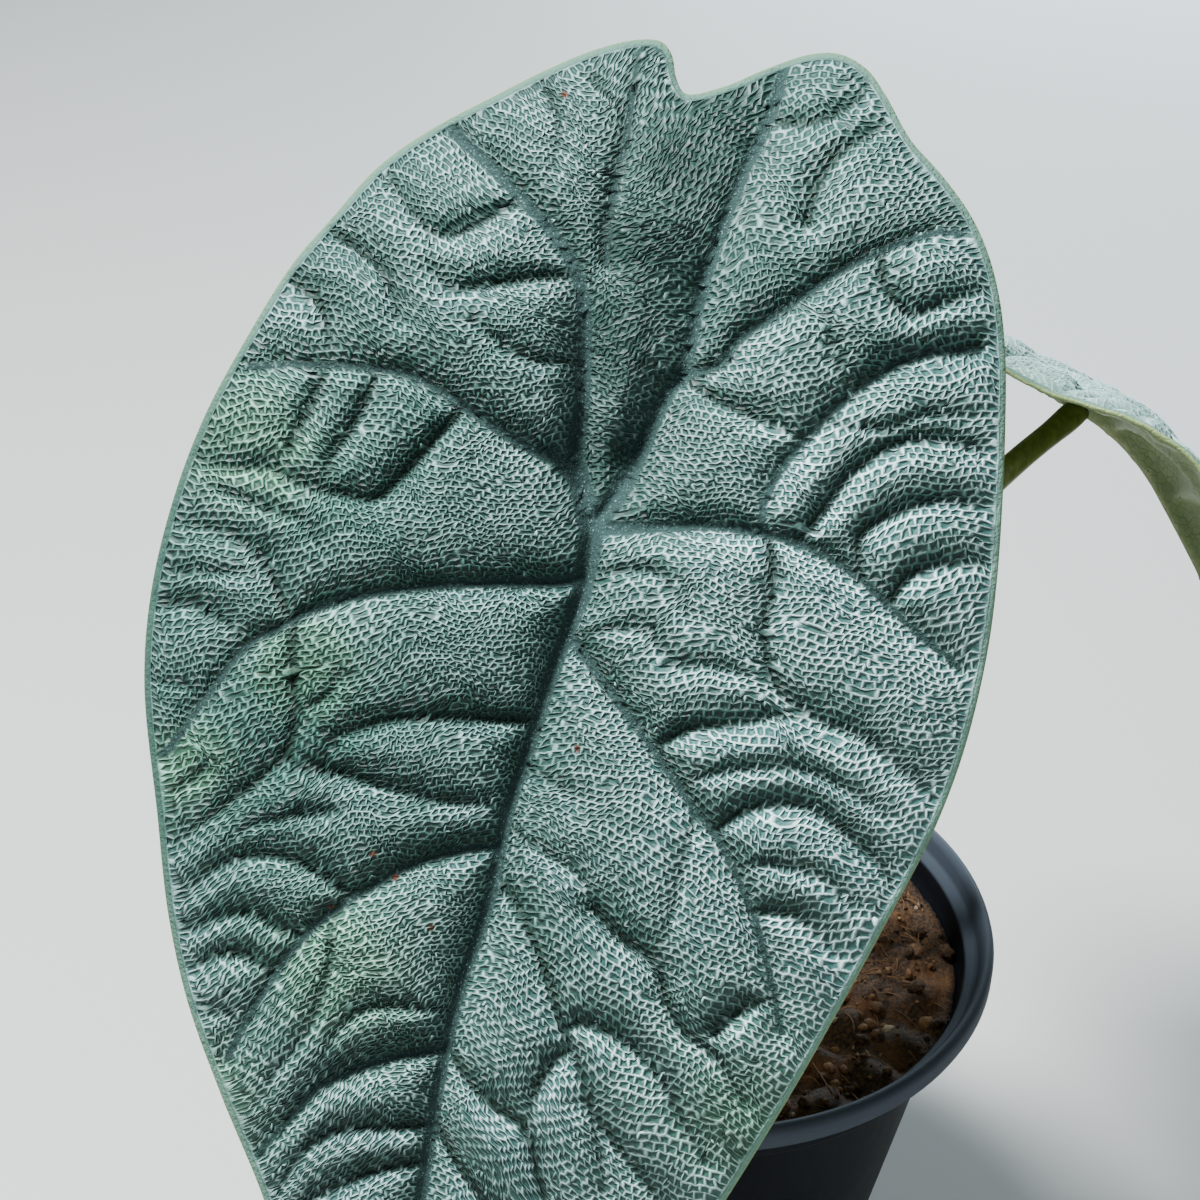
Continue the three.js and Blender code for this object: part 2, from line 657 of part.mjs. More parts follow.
// The petiole runs up to the back of its blade, cut there to the blade's own form.
function petioleGeometry(curve, leaf) {
  const start = sheathShare + seatGap / curve.getLength();
  const stem = stemGeometry(curve, start, 1, petioleFootRadius, petioleTopRadius, petioleSteps);
  const cutter = bladeGeometry(leaf, cutterHeight, bladeThickness + seatGap);
  return toGeometry(toSolid(stem).subtract(toSolid(cutter)));
}

// The crown: a short rounded corm in the coir, with the sheath of each petiole standing on it.
function crownGeometry() {
  const corm = turned([
    [0, crownFoot],
    [6, crownFoot],
    [crownRadius, crownFoot + 6],
    [crownRadius, soilLevel - 1],
    [9.4, soilLevel + 3],
    [7, soilLevel + 6],
    [3.5, soilLevel + 7.6],
    [0, soilLevel + 8],
  ], 24);
  let solid = toSolid(corm);
  for (const curve of [frontPetiole, backPetiole]) {
    const sheath = stemGeometry(curve, 0.02, sheathShare, sheathFootRadius, sheathTopRadius, sheathSteps);
    solid = solid.add(toSolid(sheath));
  }
  return toGeometry(solid);
}

function node(name, geometry, color, roughness) {
  const material = new THREE.MeshStandardMaterial({ color, roughness, metalness: 0, side: THREE.FrontSide });
  const mesh = new THREE.Mesh(geometry, material);
  mesh.name = name;
  return mesh;
}

const plant = new THREE.Group();
plant.add(
  node('crown', crownGeometry(), crownColour, 0.7),
  node('petiole_front', petioleGeometry(frontPetiole, frontLeaf), petioleColour, 0.5),
  node('petiole_back', petioleGeometry(backPetiole, backLeaf), petioleColour, 0.5),
  node('leaf_front', bladeGeometry(frontLeaf, 0, bladeThickness), leafColour, 0.45),
  node('leaf_back', bladeGeometry(backLeaf, 0, bladeThickness), leafBackColour, 0.45),
);

const pottedPlant = new THREE.Group();
pottedPlant.add(
  node('pot', potGeometry(), potColour, 0.4),
  node('soil', soilGeometry(), soilColour, 0.95),
  plant,
);

export default pottedPlant;
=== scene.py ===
# %% [markdown]
# # A potted alocasia melo
# The plant is a small aroid with thick, quilted, shield-shaped leaves. The frame already holds its true
# sizes: a nursery pot, coir, a crown, two petioles and two plain blades. This lesson dresses them. The
# leaves come first, because their raised net is what the eye goes to. The pot, coir and stems follow, and
# the studio comes last.

# %% Load the frame
import math

import bmesh
import bpy
import numpy as np
from mathutils import Matrix, Vector, noise


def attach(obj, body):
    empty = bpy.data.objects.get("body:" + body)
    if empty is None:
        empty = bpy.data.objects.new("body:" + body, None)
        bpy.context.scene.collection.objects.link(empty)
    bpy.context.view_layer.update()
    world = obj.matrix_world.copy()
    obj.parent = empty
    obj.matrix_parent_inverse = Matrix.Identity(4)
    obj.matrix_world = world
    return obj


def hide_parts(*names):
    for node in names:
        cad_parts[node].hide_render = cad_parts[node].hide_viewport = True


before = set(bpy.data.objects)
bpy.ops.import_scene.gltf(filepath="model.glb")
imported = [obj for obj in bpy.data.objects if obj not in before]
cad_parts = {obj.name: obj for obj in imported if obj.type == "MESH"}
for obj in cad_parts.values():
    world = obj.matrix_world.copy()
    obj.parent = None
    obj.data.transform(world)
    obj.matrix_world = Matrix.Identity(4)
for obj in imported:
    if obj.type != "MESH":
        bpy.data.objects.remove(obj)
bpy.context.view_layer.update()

print("nodes in the frame:", sorted(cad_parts))

# %% [markdown]
# ## The camera
# The picture was taken from in front and above, looking down about 32 degrees. The camera is described by
# where it stands and by three directions: right, up and ahead. Writing them into the columns of its matrix
# is surer than turning it by angles, because nothing depends on an order of turns.

# %% Place the camera
MM = 0.001
CAMERA_PLACE = Vector((-20.3, -337.3, 387.2))
CAMERA_RIGHT = Vector((0.9995, 0.0173, 0.0273))
CAMERA_UP = Vector((-0.0323, 0.5361, 0.8436))
FOCAL_LENGTH = 66
SENSOR_WIDTH = 36

camera_data = bpy.data.cameras.new("camera")
camera_data.lens = FOCAL_LENGTH
camera_data.sensor_width = SENSOR_WIDTH
camera_data.clip_start = 0.01
camera = bpy.data.objects.new("camera", camera_data)
camera_turn = Matrix((CAMERA_RIGHT, CAMERA_UP, CAMERA_RIGHT.cross(CAMERA_UP))).transposed()
camera.matrix_world = Matrix.Translation(CAMERA_PLACE * MM) @ camera_turn.to_4x4()
bpy.context.scene.collection.objects.link(camera)
bpy.context.scene.camera = camera
print("camera stands", round(CAMERA_PLACE.length), "mm from the pot's base")

# %% [markdown]
# ## Writing shader maths as Python
# A finish is a web of nodes. Wiring each one by hand hides the idea, so one class wraps a socket and turns
# `a * b` into a Math node. Colours go through a Mix node instead, because a Math node would turn them grey.

# %% A socket that can be added and multiplied
class Wire:
    """The output of a node. Arithmetic on it adds Math nodes to its finish."""

    def __init__(self, finish, socket):
        self.finish = finish
        self.socket = socket

    def math(self, operation, first, second):
        return self.finish.node("ShaderNodeMath", {"operation": operation}, {0: first, 1: second})

    def __add__(self, other):
        return self.math("ADD", self, other)

    def __sub__(self, other):
        return self.math("SUBTRACT", self, other)

    def __rsub__(self, other):
        return self.math("SUBTRACT", other, self)

    def __mul__(self, other):
        return self.math("MULTIPLY", self, other)

    __radd__ = __add__
    __rmul__ = __mul__


print("wires can be added, subtracted and multiplied")

# %% [markdown]
# ## Building a finish
# A material is easier to read when every node is made the same way, so one method takes a node's type, its
# settings and its inputs. The others are short names for what this plant's finishes need: noise in
# millimetres, a smooth step, a mix of colours and a bump. Node groups could hold them too, but a method
# shows its maths where it is used.

# %% A finish with one method for any node
class Finish:
    """A procedural material that is built up node by node."""

    def __init__(self, name):
        self.material = bpy.data.materials.new(name)
        self.material.use_nodes = True
        self.tree = self.material.node_tree
        self.shader = self.tree.nodes["Principled BSDF"]

    def feed(self, socket, value):
        if isinstance(value, Wire):
            self.tree.links.new(value.socket, socket)
        else:
            socket.default_value = value

    def node(self, kind, settings=None, inputs=None, output=0):
        made = self.tree.nodes.new(kind)
        for name, value in (settings or {}).items():
            setattr(made, name, value)
        for name, value in (inputs or {}).items():
            self.feed(made.inputs[name], value)
        return Wire(self, made.outputs[output])

    def reading(self, name):
        return self.node("ShaderNodeAttribute", {"attribute_name": name}, output="Fac")

    def place(self, scale=(1, 1, 1)):
        """The point on the piece in millimetres, stretched by a scale."""
        here = self.node("ShaderNodeTexCoord", output="Object")
        size = tuple(s / MM for s in scale)
        return self.node("ShaderNodeMapping", {}, {"Vector": here, "Scale": size})

    def noise(self, size, detail=2.0, scale=(1, 1, 1)):
        """Soft noise from 0 to 1 whose spots are about size millimetres wide."""
        return self.node(
            "ShaderNodeTexNoise",
            {"noise_dimensions": "3D"},
            {"Vector": self.place(scale), "Scale": 1.0 / size, "Detail": detail},
        )

    def step(self, value, start, end):
        """0 below start and 1 above end, with a smooth rise between."""
        return self.node(
            "ShaderNodeMapRange",
            {"interpolation_type": "SMOOTHSTEP"},
            {"Value": value, "From Min": start, "From Max": end},
        )

    def mix(self, share, first, second):
        colours = [c if isinstance(c, Wire) else (*c, 1.0) for c in (first, second)]
        settings = {"data_type": "RGBA", "clamp_factor": True}
        return self.node("ShaderNodeMix", settings, {0: share, 6: colours[0], 7: colours[1]}, output=2)

    def bump(self, height, distance, below=None):
        """A normal bent by a height from 0 to 1 that stands for distance millimetres."""
        inputs = {"Height": height, "Distance": distance * MM, "Strength": 1.0}
        if below is not None:
            inputs["Normal"] = below
        return self.node("ShaderNodeBump", {}, inputs)

    def paint(self, **inputs):
        for name, value in inputs.items():
            socket = self.shader.inputs[name.replace("_", " ")]
            self.feed(socket, (*value, 1.0) if isinstance(value, tuple) else value)
        print(self.material.name, "is painted by", len(self.tree.nodes), "nodes")
        return self.material


print("shader helpers are ready")

# %% [markdown]
# ## The leaf as a drawing
# A real blade of this species is drawn by its veins: each one lies in a groove, and the flesh between two
# grooves swells into a pillow. So the leaf starts as a traced map in millimetres, with the navel, where the
# petiole joins, at (0, 0) and the tip below. Long veins are a few points each, and a smooth curve joins
# them.

# %% Trace the margin and the veins
def path(*values):
    return [(values[i], values[i + 1]) for i in range(0, len(values), 2)]


# The margin of the leaf, clockwise from the notch between its two fused lobes.
MARGIN = [
    *path(14.7, 66.2, 20.5, 67.2, 27, 69.9, 33.8, 72.2, 38.5, 72.3, 42.7, 70, 45.5, 66.2, 49.5, 59.1),
    *path(54.5, 53.4, 58.8, 47.4, 61.5, 41.5, 63.4, 33.8, 64.2, 24.8, 64.2, 15.6, 63.8, 4.2, 62.9, -9),
    *path(61.3, -20.9, 57.7, -35.7, 52.7, -48.7, 45.3, -62.9, 38.2, -75.9, 31.1, -88.4, 21, -104.8),
    *path(11, -119.5, -1, -133, -13, -143, -24, -149.5, -32.5, -152.5, -36.2, -148.5, -40.5, -139),
    *path(-44.5, -126.5, -47.8, -114.5, -50.4, -104.8, -56.9, -88.9, -62.2, -74.2, -65.2, -60.6),
    *path(-66.9, -45.1, -68.9, -25, -67.8, -10.5, -64.2, 4.2, -59.5, 16.5, -53.4, 27.9, -46, 39.8),
    *path(-40, 46.8, -32.8, 54.8, -25.1, 60.3, -14.8, 65.8, -6, 70.2, 1.2, 73.1, 7.3, 74.5, 11, 74.2),
    *path(12.6, 72.2, 13.3, 68.6),
]

# The spine: the midrib down to the tip, and a main vein up into each lobe.
MIDRIB = path(
    0.5, 0, -1.1, -10.4, -3.5, -17, -6.5, -25.4, -9.6, -35.5, -12.7, -45.1, -15.8, -59.5,
    -19.8, -71.3, -22.5, -82.4, -24.8, -96, -27, -110, -29, -122, -31, -135, -32.3, -147,
)
LEFT_LOBE_VEIN = path(0, 0, -2.3, 10, -1.3, 18, -0.8, 30, -2, 38, -6, 45, -10.5, 49.8, -16, 55.5, -21.5, 60.5)
RIGHT_LOBE_VEIN = path(
    0.5, 0, 4, 4, 8.5, 12.5, 12, 20, 14.5, 22.5, 15.5, 28, 17.8, 37.5, 23.4, 53.2,
    26.5, 59.4, 28.9, 65.8, 30, 71,
)
SPINE = [MIDRIB, LEFT_LOBE_VEIN, RIGHT_LOBE_VEIN]

# The lateral veins, which lie in the deepest grooves between the pillows.
LATERALS = [
    path(-1.5, 5, -5, 9, -10, 11.5, -20, 18, -27, 22.3, -35, 23.8, -45, 24.3, -52.8, 24),
    path(-1, -8.5, -5, -9.3, -15, -9.5, -30, -10.6, -42, -13.3, -48, -16.5, -52.7, -18.9, -58.2, -25.7,
    -63.5, -33, -65.8, -36.5),
    path(-14, -50, -18.8, -50.6, -25.4, -52.2, -32.2, -55.5, -37.7, -58.9, -43.8, -63.6, -48.5, -69.8,
    -51.8, -75, -54.6, -80.2, -56.2, -83.2),
    path(-22.3, -81.5, -30, -82.7, -36.2, -84.8, -41.7, -87.3, -45.4, -91.3, -49.7, -95.9, -51.3, -98),
    path(14.5, 22.5, 19.9, 24.2, 23, 28, 31, 33.5, 38.5, 38.5, 46.5, 42.5, 54.5, 44.9, 57.5, 44.6),
    path(3, -1, 12, -0.8, 20, -0.8, 31.5, -3.2, 40.3, -7.8, 48.6, -15.5, 52.6, -18.9, 57.5, -22.8),
    path(-3, -17.8, 0.5, -22.6, 4.8, -28.5, 9.8, -35.2, 15.9, -44.2, 19.9, -49.1, 21.8, -53, 23.7, -57,
    25.8, -62.5, 28, -71.3, 29.5, -79),
    path(60, 26.7, 50.2, 25.3, 41.5, 20.5, 34.8, 14.1, 29.2, 7.6, 26.5, 1.5, 26.5, -1.5),
    path(2.5, 40, 2.8, 47, 5.5, 59, 7.5, 72.5),
]

# The next order of grooves: between a lateral and the margin, and across the pillows.
BRANCHES = [
    path(-10.5, 49.8, -16, 47, -19.5, 45, -24, 44.5, -27, 47.5, -31, 53),
    path(-2.2, 38, -8, 37.7, -18, 36.3, -21, 35.8, -24.5, 39),
    path(-40, 45, -35, 41.5, -31.5, 38, -29.5, 31),
    path(-46, 37, -42, 34, -40.5, 29, -40.3, 25),
    path(-20.1, 17, -25, 11.5, -30, 6, -33, 3.5, -38, 4.3, -45, 6, -48, 8.2, -55, 8.3, -62, 10),
    path(-33.4, 22, -36, 15.8, -39.2, 11.3, -41.5, 5.5),
    path(-41.5, 22.5, -43.5, 17, -46, 12.5, -47.5, 9),
    path(-47.2, -14, -48.8, -8.7, -50.3, -5.9, -52.8, -3.5, -56.8, -1.6, -63, 0),
    path(-66.5, -12.5, -61, -12.8, -56, -15.5, -53.5, -18),
    path(-45.9, -15, -46, -22, -45.8, -30.5, -47, -36, -51.5, -40, -58.5, -45.4, -64.5, -50),
    path(-46.8, -36.4, -44, -37.7, -38, -39, -30, -41.4, -22.6, -43.2, -13, -43.6),
    path(-9, -30.8, -22.6, -30.3, -30, -30.5, -36.2, -32.2, -39.2, -33.4, -41.2, -37.4),
    path(-36.5, -58, -41, -54.8, -46.5, -52, -50, -51.4, -56, -52.5, -61.5, -56.3, -63.3, -58),
    path(-44.5, -64, -48.5, -62.4, -52.8, -60.4, -56.5, -60.7, -62.6, -63.3),
    path(-49, -70, -50.9, -68.2, -55.8, -66.5, -60.8, -68.5, -62.2, -69.8),
    path(-24.2, -93.2, -30, -93.5, -39.2, -94.1, -43.2, -96.2, -46, -99.6, -48.8, -104),
    path(-25.1, -98.9, -33, -100.2, -39.2, -102.7, -42.3, -104.2, -46.5, -108),
    path(-27, -112, -33, -113.5, -39, -117, -44, -123),
    path(-29.2, -124, -33.5, -126, -37.5, -129.5, -41, -134),
    path(29.2, 61.8, 32.9, 61.5, 39, 63.7, 43, 67),
    path(33.5, 46, 35.4, 52.6, 39.7, 57.9, 46, 61.4),
    path(44.9, 41.5, 45.5, 36.6, 49.5, 32.2, 54.8, 33.8, 61, 36),
    path(14.5, 22.5, 20, 18.7, 26.2, 15.9, 33, 13),
    path(32, -3, 35.4, 0.8, 39.7, 6.7, 46.2, 11.6, 52.6, 12.8, 61, 11),
    path(41.8, -8.7, 41.5, -2.8, 45.5, 0.7, 53.8, 3.2, 62, 2.4),
    path(46.5, -12.5, 48.3, -9.3, 52.6, -6.8, 60.8, -6.4),
    path(27.5, -1.8, 28.3, -9, 27, -18.5, 29.5, -26.3, 36, -30.8, 41.5, -32.8, 48.9, -38.6, 53.5, -42.6),
    path(19.3, -48, 23, -45.1, 29.2, -43.5, 34.8, -44.5, 39.1, -47.8, 45.5, -54, 47, -57),
    path(9.8, -35.2, 15, -32.2, 23, -31.1, 30, -29.8, 33.2, -30.3),
    path(25.2, -60.8, 27.7, -60.2, 33.5, -61.8, 38.5, -67),
    path(0.8, -60, 4.8, -64.2, 10.4, -68.5, 11.9, -74.4, 15.3, -79.6, 19.3, -82.4, 24, -90),
    path(19.3, -79, 21.5, -76.8, 24, -75.2, 28.3, -73.5),
    path(-3.8, -78.7, -2.2, -77.5, 3.3, -79, 8.2, -82.7, 11.9, -87.6, 14.4, -92.8, 18, -99),
    path(-14.8, -54, -11.8, -58.3, -9.6, -62.7, -6.5, -70.7, -3.8, -79.3, -1, -86.1, 0.8, -93.5, 2.1, -104),
    path(-0.4, -89.8, 3.5, -95.5, 8.3, -101.5, 13, -108),
    path(-3.2, -81.5, -5.5, -83.3, -8.8, -89, -9.9, -94),
    path(-22, -81, -19.8, -84.8, -15.5, -89.8, -9.9, -94, -8.1, -100.2, -6, -107, 0, -117, 5, -124),
    path(-24, -92.5, -20.4, -99, -16.7, -104.5, -10.5, -112, -5, -121, -2, -129),
    path(-27.5, -112, -21, -118, -15.5, -126, -12, -138),
]

# Faint creases, which only dent a pillow.
CREASES = [
    path(-2.6, 24.8, -8.4, 24.8, -14.8, 28.2, -18, 31),
    path(0, 68.6, 4.2, 65.1, 7.3, 64.8),
    path(-7.8, 68.6, -5, 62.5, -5.3, 57.5, -7.5, 48.8),
    path(-66, -7.3, -58, -7.8, -51, -7.5),
    path(-56.8, 4.9, -51, 2.4, -44.8, 0.2, -41.7, -3.8),
    path(39.7, 21, 37.8, 26, 36.4, 31),
    path(36, 15.5, 46, 14.5, 52, 16.5, 60, 16),
    path(1.5, -7.5, 10.5, -8, 15, -14.5),
    path(-2.5, -17.3, 8.8, -16.8, 12.8, -22, 18.1, -22.3, 27, -24.5),
    path(13.8, -40.5, 21, -38.6, 32.3, -38.3, 40.9, -42.3, 46, -46),
    path(15.8, -45.5, 14.7, -50.9, 12.2, -62, 10.6, -68),
    path(22.5, -53, 31, -53.5, 36, -55.2, 41, -60),
    path(-45.6, -29.3, -41, -27.2, -39, -24.5),
    path(-59.8, -38.2, -61.5, -40.2, -65, -41.7),
    path(-40.5, -44.8, -46.6, -45.7, -52.8, -47.2, -57, -50.5),
    path(-39.9, -61, -40.8, -70.7, -44.2, -79.3, -48.8, -85.5, -51.5, -90.4),
    path(-21, -75.6, -35, -75.5, -39.8, -79.9, -42, -85),
    path(-54, -76.5, -57, -75.9, -60.8, -76),
    path(-10, -38, -6.5, -39.5, -2.5, -43),
    path(-12.8, -46.5, -7.8, -50.6, -1.6, -54.9, 1.2, -60),
    path(-61, -25.8, -64, -25, -67.8, -24.6),
]

print("veins traced:", len(SPINE) + len(LATERALS) + len(BRANCHES) + len(CREASES))

# %% [markdown]
# ## Smooth lines
# A real vein has no corners, but a traced one is a few points. A curve object could smooth it, but its
# handles are hard to set by rule. A centripetal spline passes through every traced point and makes no
# loops, even where points lie close together. It is then cut into even steps.

# %% Smooth a traced line
LINE_STEP = 2.0
KNOT_SAMPLES = 24


def smooth_line(points, closed=False, step=LINE_STEP):
    knots = np.array(points, float)
    if closed:
        knots = np.vstack([knots[-1:], knots, knots[:2]])
    else:
        knots = np.vstack([2 * knots[0] - knots[1], knots, 2 * knots[-1] - knots[-2]])
    share = np.linspace(0, 1, KNOT_SAMPLES, endpoint=False)[:, None]
    dense = []
    for before, start, end, after in zip(knots, knots[1:], knots[2:], knots[3:]):
        gap_in, gap, gap_out = (
            max(np.linalg.norm(b - a), 1e-6) ** 0.5 for a, b in ((before, start), (start, end), (end, after))
        )
        leave = ((start - before) / gap_in - (end - before) / (gap_in + gap) + (end - start) / gap) * gap
        arrive = ((end - start) / gap - (after - start) / (gap + gap_out) + (after - end) / gap_out) * gap
        cubic = 2 * (start - end) + leave + arrive
        square = -3 * (start - end) - 2 * leave - arrive
        dense.append(cubic * share**3 + square * share**2 + leave * share + start)
    dense = np.vstack([*dense, knots[-2:-1]])
    travelled = np.concatenate([[0], np.cumsum(np.linalg.norm(np.diff(dense, axis=0), axis=1))])
    even = np.linspace(0, travelled[-1], max(1, round(travelled[-1] / step)) + 1)
    line = np.stack([np.interp(even, travelled, dense[:, axis]) for axis in range(knots.shape[1])], 1)
    return line[:-1] if closed else line


MARGIN_LINE = smooth_line(MARGIN, closed=True)
SPINE_LINES = [smooth_line(points) for points in SPINE]
LATERAL_LINES = [smooth_line(points) for points in LATERALS]
print("margin length:", round(len(MARGIN_LINE) * LINE_STEP), "mm")

# %% [markdown]
# ## Distances
# Everything about the blade follows from two questions: how far is this point from that vein, and how far
# from the margin? The distances are worked out for all points at once with numpy, which is what makes tens
# of thousands of points affordable.

# %% Measure how far points are from a line
def nearest(line, points, closed=False):
    """The distance of each point from a line, and how far along it the nearest place is, from 0 to 1."""
    starts = line if closed else line[:-1]
    ends = np.roll(line, -1, 0) if closed else line[1:]
    distance = np.full(len(points), np.inf)
    along = np.zeros(len(points))
    for i, (start, end) in enumerate(zip(starts, ends)):
        run = end - start
        offset = points - start
        share = np.clip(offset @ run / (run @ run), 0, 1)
        gap = np.hypot(*(offset - share[:, None] * run).T)
        closer = gap < distance
        distance[closer] = gap[closer]
        along[closer] = (i + share[closer]) / len(starts)
    return distance, along


def inside(line, points):
    odd = np.zeros(len(points), bool)
    for (ax, ay), (bx, by) in zip(line, np.roll(line, -1, 0)):
        if ay != by:
            crossing = ax + (points[:, 1] - ay) / (by - ay) * (bx - ax)
            odd ^= ((ay > points[:, 1]) != (by > points[:, 1])) & (points[:, 0] < crossing)
    return odd


NAVEL = np.zeros((1, 2))
print("the navel lies", round(float(nearest(MARGIN_LINE, NAVEL, closed=True)[0][0])), "mm from the margin")

# %% [markdown]
# ## Quilting
# On the plant, each vein holds the blade down and the flesh between veins swells. A groove is deepest on
# its vein and fades sideways as an exponential, which gives a sharp valley between round pillows. Adding up
# all the grooves would dig pits where veins meet. Adding up high powers of them and taking the root of the
# sum lets the deepest groove win and still keeps the joint smooth.

# %% The grooves
# For each kind of vein: the depth of its grooves, their width, and how much painted shade darkens their
# bottoms.
GROOVE_KINDS = [
    (SPINE, 3.9, 3.3, 1.0),
    (LATERALS, 3.8, 2.9, 1.0),
    (BRANCHES, 3.0, 2.5, 0.9),
    (CREASES, 1.8, 1.8, 0.65),
]
GROOVE_FADE = 0.4
PAINTED_CREVICE_SHADE_WIDTH = 0.95
GROOVES = [(smooth_line(points), *facts) for veins, *facts in GROOVE_KINDS for points in veins]


def smoothstep(value, start, end):
    share = np.clip((value - start) / (end - start), 0, 1)
    return share * share * (3 - 2 * share)


def rounded(distance, radius):
    """A distance whose sharp zero is rounded off, so that a valley gets a bottom and a keel a back."""
    return np.sqrt(distance**2 + radius**2) - radius


def groove_depth(points, soft, norm):
    """How deep the blade is pushed in, and how much painted shade each point gets near the bottom of a
    groove, from 0 to 1.

    soft rounds the bottoms, little on the upper face and more on the keels. norm blends grooves that meet.
    """
    total = np.zeros(len(points))
    painted_crevice_shade = np.zeros(len(points))
    for line, depth, width, painted_shade_strength in GROOVES:
        distance, along = nearest(line, points)
        fade = 1 - GROOVE_FADE * along**2
        deep = depth * fade * np.exp(-rounded(distance, soft) / width)
        total += deep**norm
        # Painted shade: the bottom of each groove is darkened in the finish.
        painted_crevice_shade = np.maximum(painted_crevice_shade, painted_shade_strength * fade * np.exp(-((distance / PAINTED_CREVICE_SHADE_WIDTH) ** 2)))
    return total ** (1 / norm), painted_crevice_shade


print("grooves:", len(GROOVES))

# %% [markdown]
# ## A map of the blade
# Both faces of the blade, its ribs and its finish ask the same questions of every point. Measuring each
# distance once and keeping it is quicker than asking again, and it keeps the faces in step. The upper face
# gets narrow valleys. On the underside the same grooves stand out as broad keels, so the flesh between the
# two keeps its thickness.

# %% Measure a sheet of points once
# On each face: how far the bottoms of the grooves are rounded, and the power that blends them.
UPPER_SIDE = (0.25, 6)
LOWER_SIDE = (1.6, 12)
# The margin is firm: the grooves run out in a band along it.
MARGIN_FIRMNESS = 0.1
SMOOTH_BAND = 3.0


class LeafMap:
    """What the blade's form needs to know about each point of the drawing."""

    def __init__(self, points, upper):
        self.x, self.y = points.T
        self.to_margin = nearest(MARGIN_LINE, points, closed=True)[0]
        self.to_spine = np.min([nearest(line, points)[0] for line in SPINE_LINES], 0)
        self.to_lateral = np.min([nearest(line, points)[0] for line in LATERAL_LINES], 0)
        self.groove = np.zeros(len(points))
        self.painted_crevice_shade = np.zeros(len(points))
        for side, blend in ((upper, UPPER_SIDE), (~upper, LOWER_SIDE)):
            self.groove[side], self.painted_crevice_shade[side] = groove_depth(points[side], *blend)
        self.quilting = -self.groove * (1 - (1 - MARGIN_FIRMNESS) * np.exp(-self.to_margin / SMOOTH_BAND))


NAVEL_MAP = LeafMap(NAVEL, np.array([True]))
print("the grooves are", round(float(NAVEL_MAP.groove[0]), 1), "mm deep at the navel")

# %% [markdown]
# ## The form of the front leaf
# The front leaf faces the viewer. Its halves swell up beside the spine, its margin rolls back, and its
# lobes, sides and tip droop. It could be sculpted, but a height over the drawing, added up from a few plain
# curves, is easier to compare with the picture: each curve is one thing that the eye sees.

# %% The front leaf's height over the drawing
FRONT_SWELL, FRONT_SWELL_WIDTH = 6.4, 14
FRONT_ROLL, FRONT_ROLL_WIDTH = 6.5, 10
LOBE_DROOP, LOBES_START = 0.0055, 30
TIP_DROOP, TIP_START = 0.0022, -60
LEFT_DROOP, RIGHT_DROOP = 0.0012, 0.0006
POCKET_DEPTH, POCKET_PLACE, POCKET_SPREAD = 4, (3, 10), 40
VALLEY_DEPTH, VALLEY_PLACE, VALLEY_LEAN = 3, (3, 26), 0.2
VALLEY_WIDTH, VALLEY_LENGTH = 8, 20
VIEW_DISTANCE = 340
VIEW_CENTRE = np.array([1.5, -12])


def front_form(leaf):
    """Its halves swell beside the spine, and its margins, lobes and tip bend back."""
    swell = FRONT_SWELL * (1 - np.exp(-leaf.to_spine / FRONT_SWELL_WIDTH))
    roll = FRONT_ROLL * np.exp(-leaf.to_margin / FRONT_ROLL_WIDTH)
    lobe_droop = LOBE_DROOP * np.maximum(0, leaf.y - LOBES_START) ** 2
    tip_droop = TIP_DROOP * np.maximum(0, TIP_START - leaf.y) ** 2
    side_droop = np.where(leaf.x < 0, LEFT_DROOP, RIGHT_DROOP) * leaf.x**2
    pocket_x, pocket_y = POCKET_PLACE
    pocket = POCKET_DEPTH * np.exp(-((leaf.x - pocket_x) ** 2 + (leaf.y - pocket_y) ** 2) / POCKET_SPREAD)
    valley_x, valley_y = VALLEY_PLACE
    across = (leaf.x - valley_x - VALLEY_LEAN * leaf.y) / VALLEY_WIDTH
    along = (leaf.y - valley_y) / VALLEY_LENGTH
    valley = VALLEY_DEPTH * np.exp(-(across**2) - along**2)
    return swell - roll - lobe_droop - tip_droop - side_droop - pocket - valley


def place_front(x, y, h):
    """What lies nearer to the viewer is drawn in a little, as the margin was traced in the picture."""
    spread = 1 - h / VIEW_DISTANCE
    cx, cy = VIEW_CENTRE
    return np.stack([cx + (x - cx) * spread, cy + (y - cy) * spread, h], 1)


print("at the navel the front leaf is pushed in", -round(float(front_form(NAVEL_MAP)[0]), 1), "mm")

# %% [markdown]
# ## The form of the back leaf
# The back leaf is smaller and seen along its face, so its outline tells more than its relief. Its lobes
# fall away from the spine, its tip half rises from the midrib, and the whole blade bends down past the
# navel. A curve modifier could bend it, but summing small turns along the midrib keeps its length true and
# needs no second object.

# %% The back leaf's height and bend
BACK_SWELL, BACK_SWELL_WIDTH = 3.4, 9
BACK_ROLL, BACK_ROLL_WIDTH = 2.1, 9
LOBE_FOLD, TIP_FOLD = -0.08, 0.048
FOLD_TURNS = (-20, 24)
BEND_STEP = 0.5
BEND_REACH = 170
NECK_END, NECK_BEND = 28, 0.0191
STRAIGHT_END, STRAIGHT_BEND = 85, 0.002
TIP_BEND = 0.006
LOBE_BEND = 0.003


def back_form(leaf):
    """It is nearly flat: its lobes fall away from the spine, and its tip half rises from the midrib."""
    swell = BACK_SWELL * (1 - np.exp(-leaf.to_spine / BACK_SWELL_WIDTH))
    roll = BACK_ROLL * np.exp(-leaf.to_margin / BACK_ROLL_WIDTH)
    fold = LOBE_FOLD + (TIP_FOLD - LOBE_FOLD) * smoothstep(-leaf.y, *FOLD_TURNS)
    return swell - roll + fold * leaf.to_spine


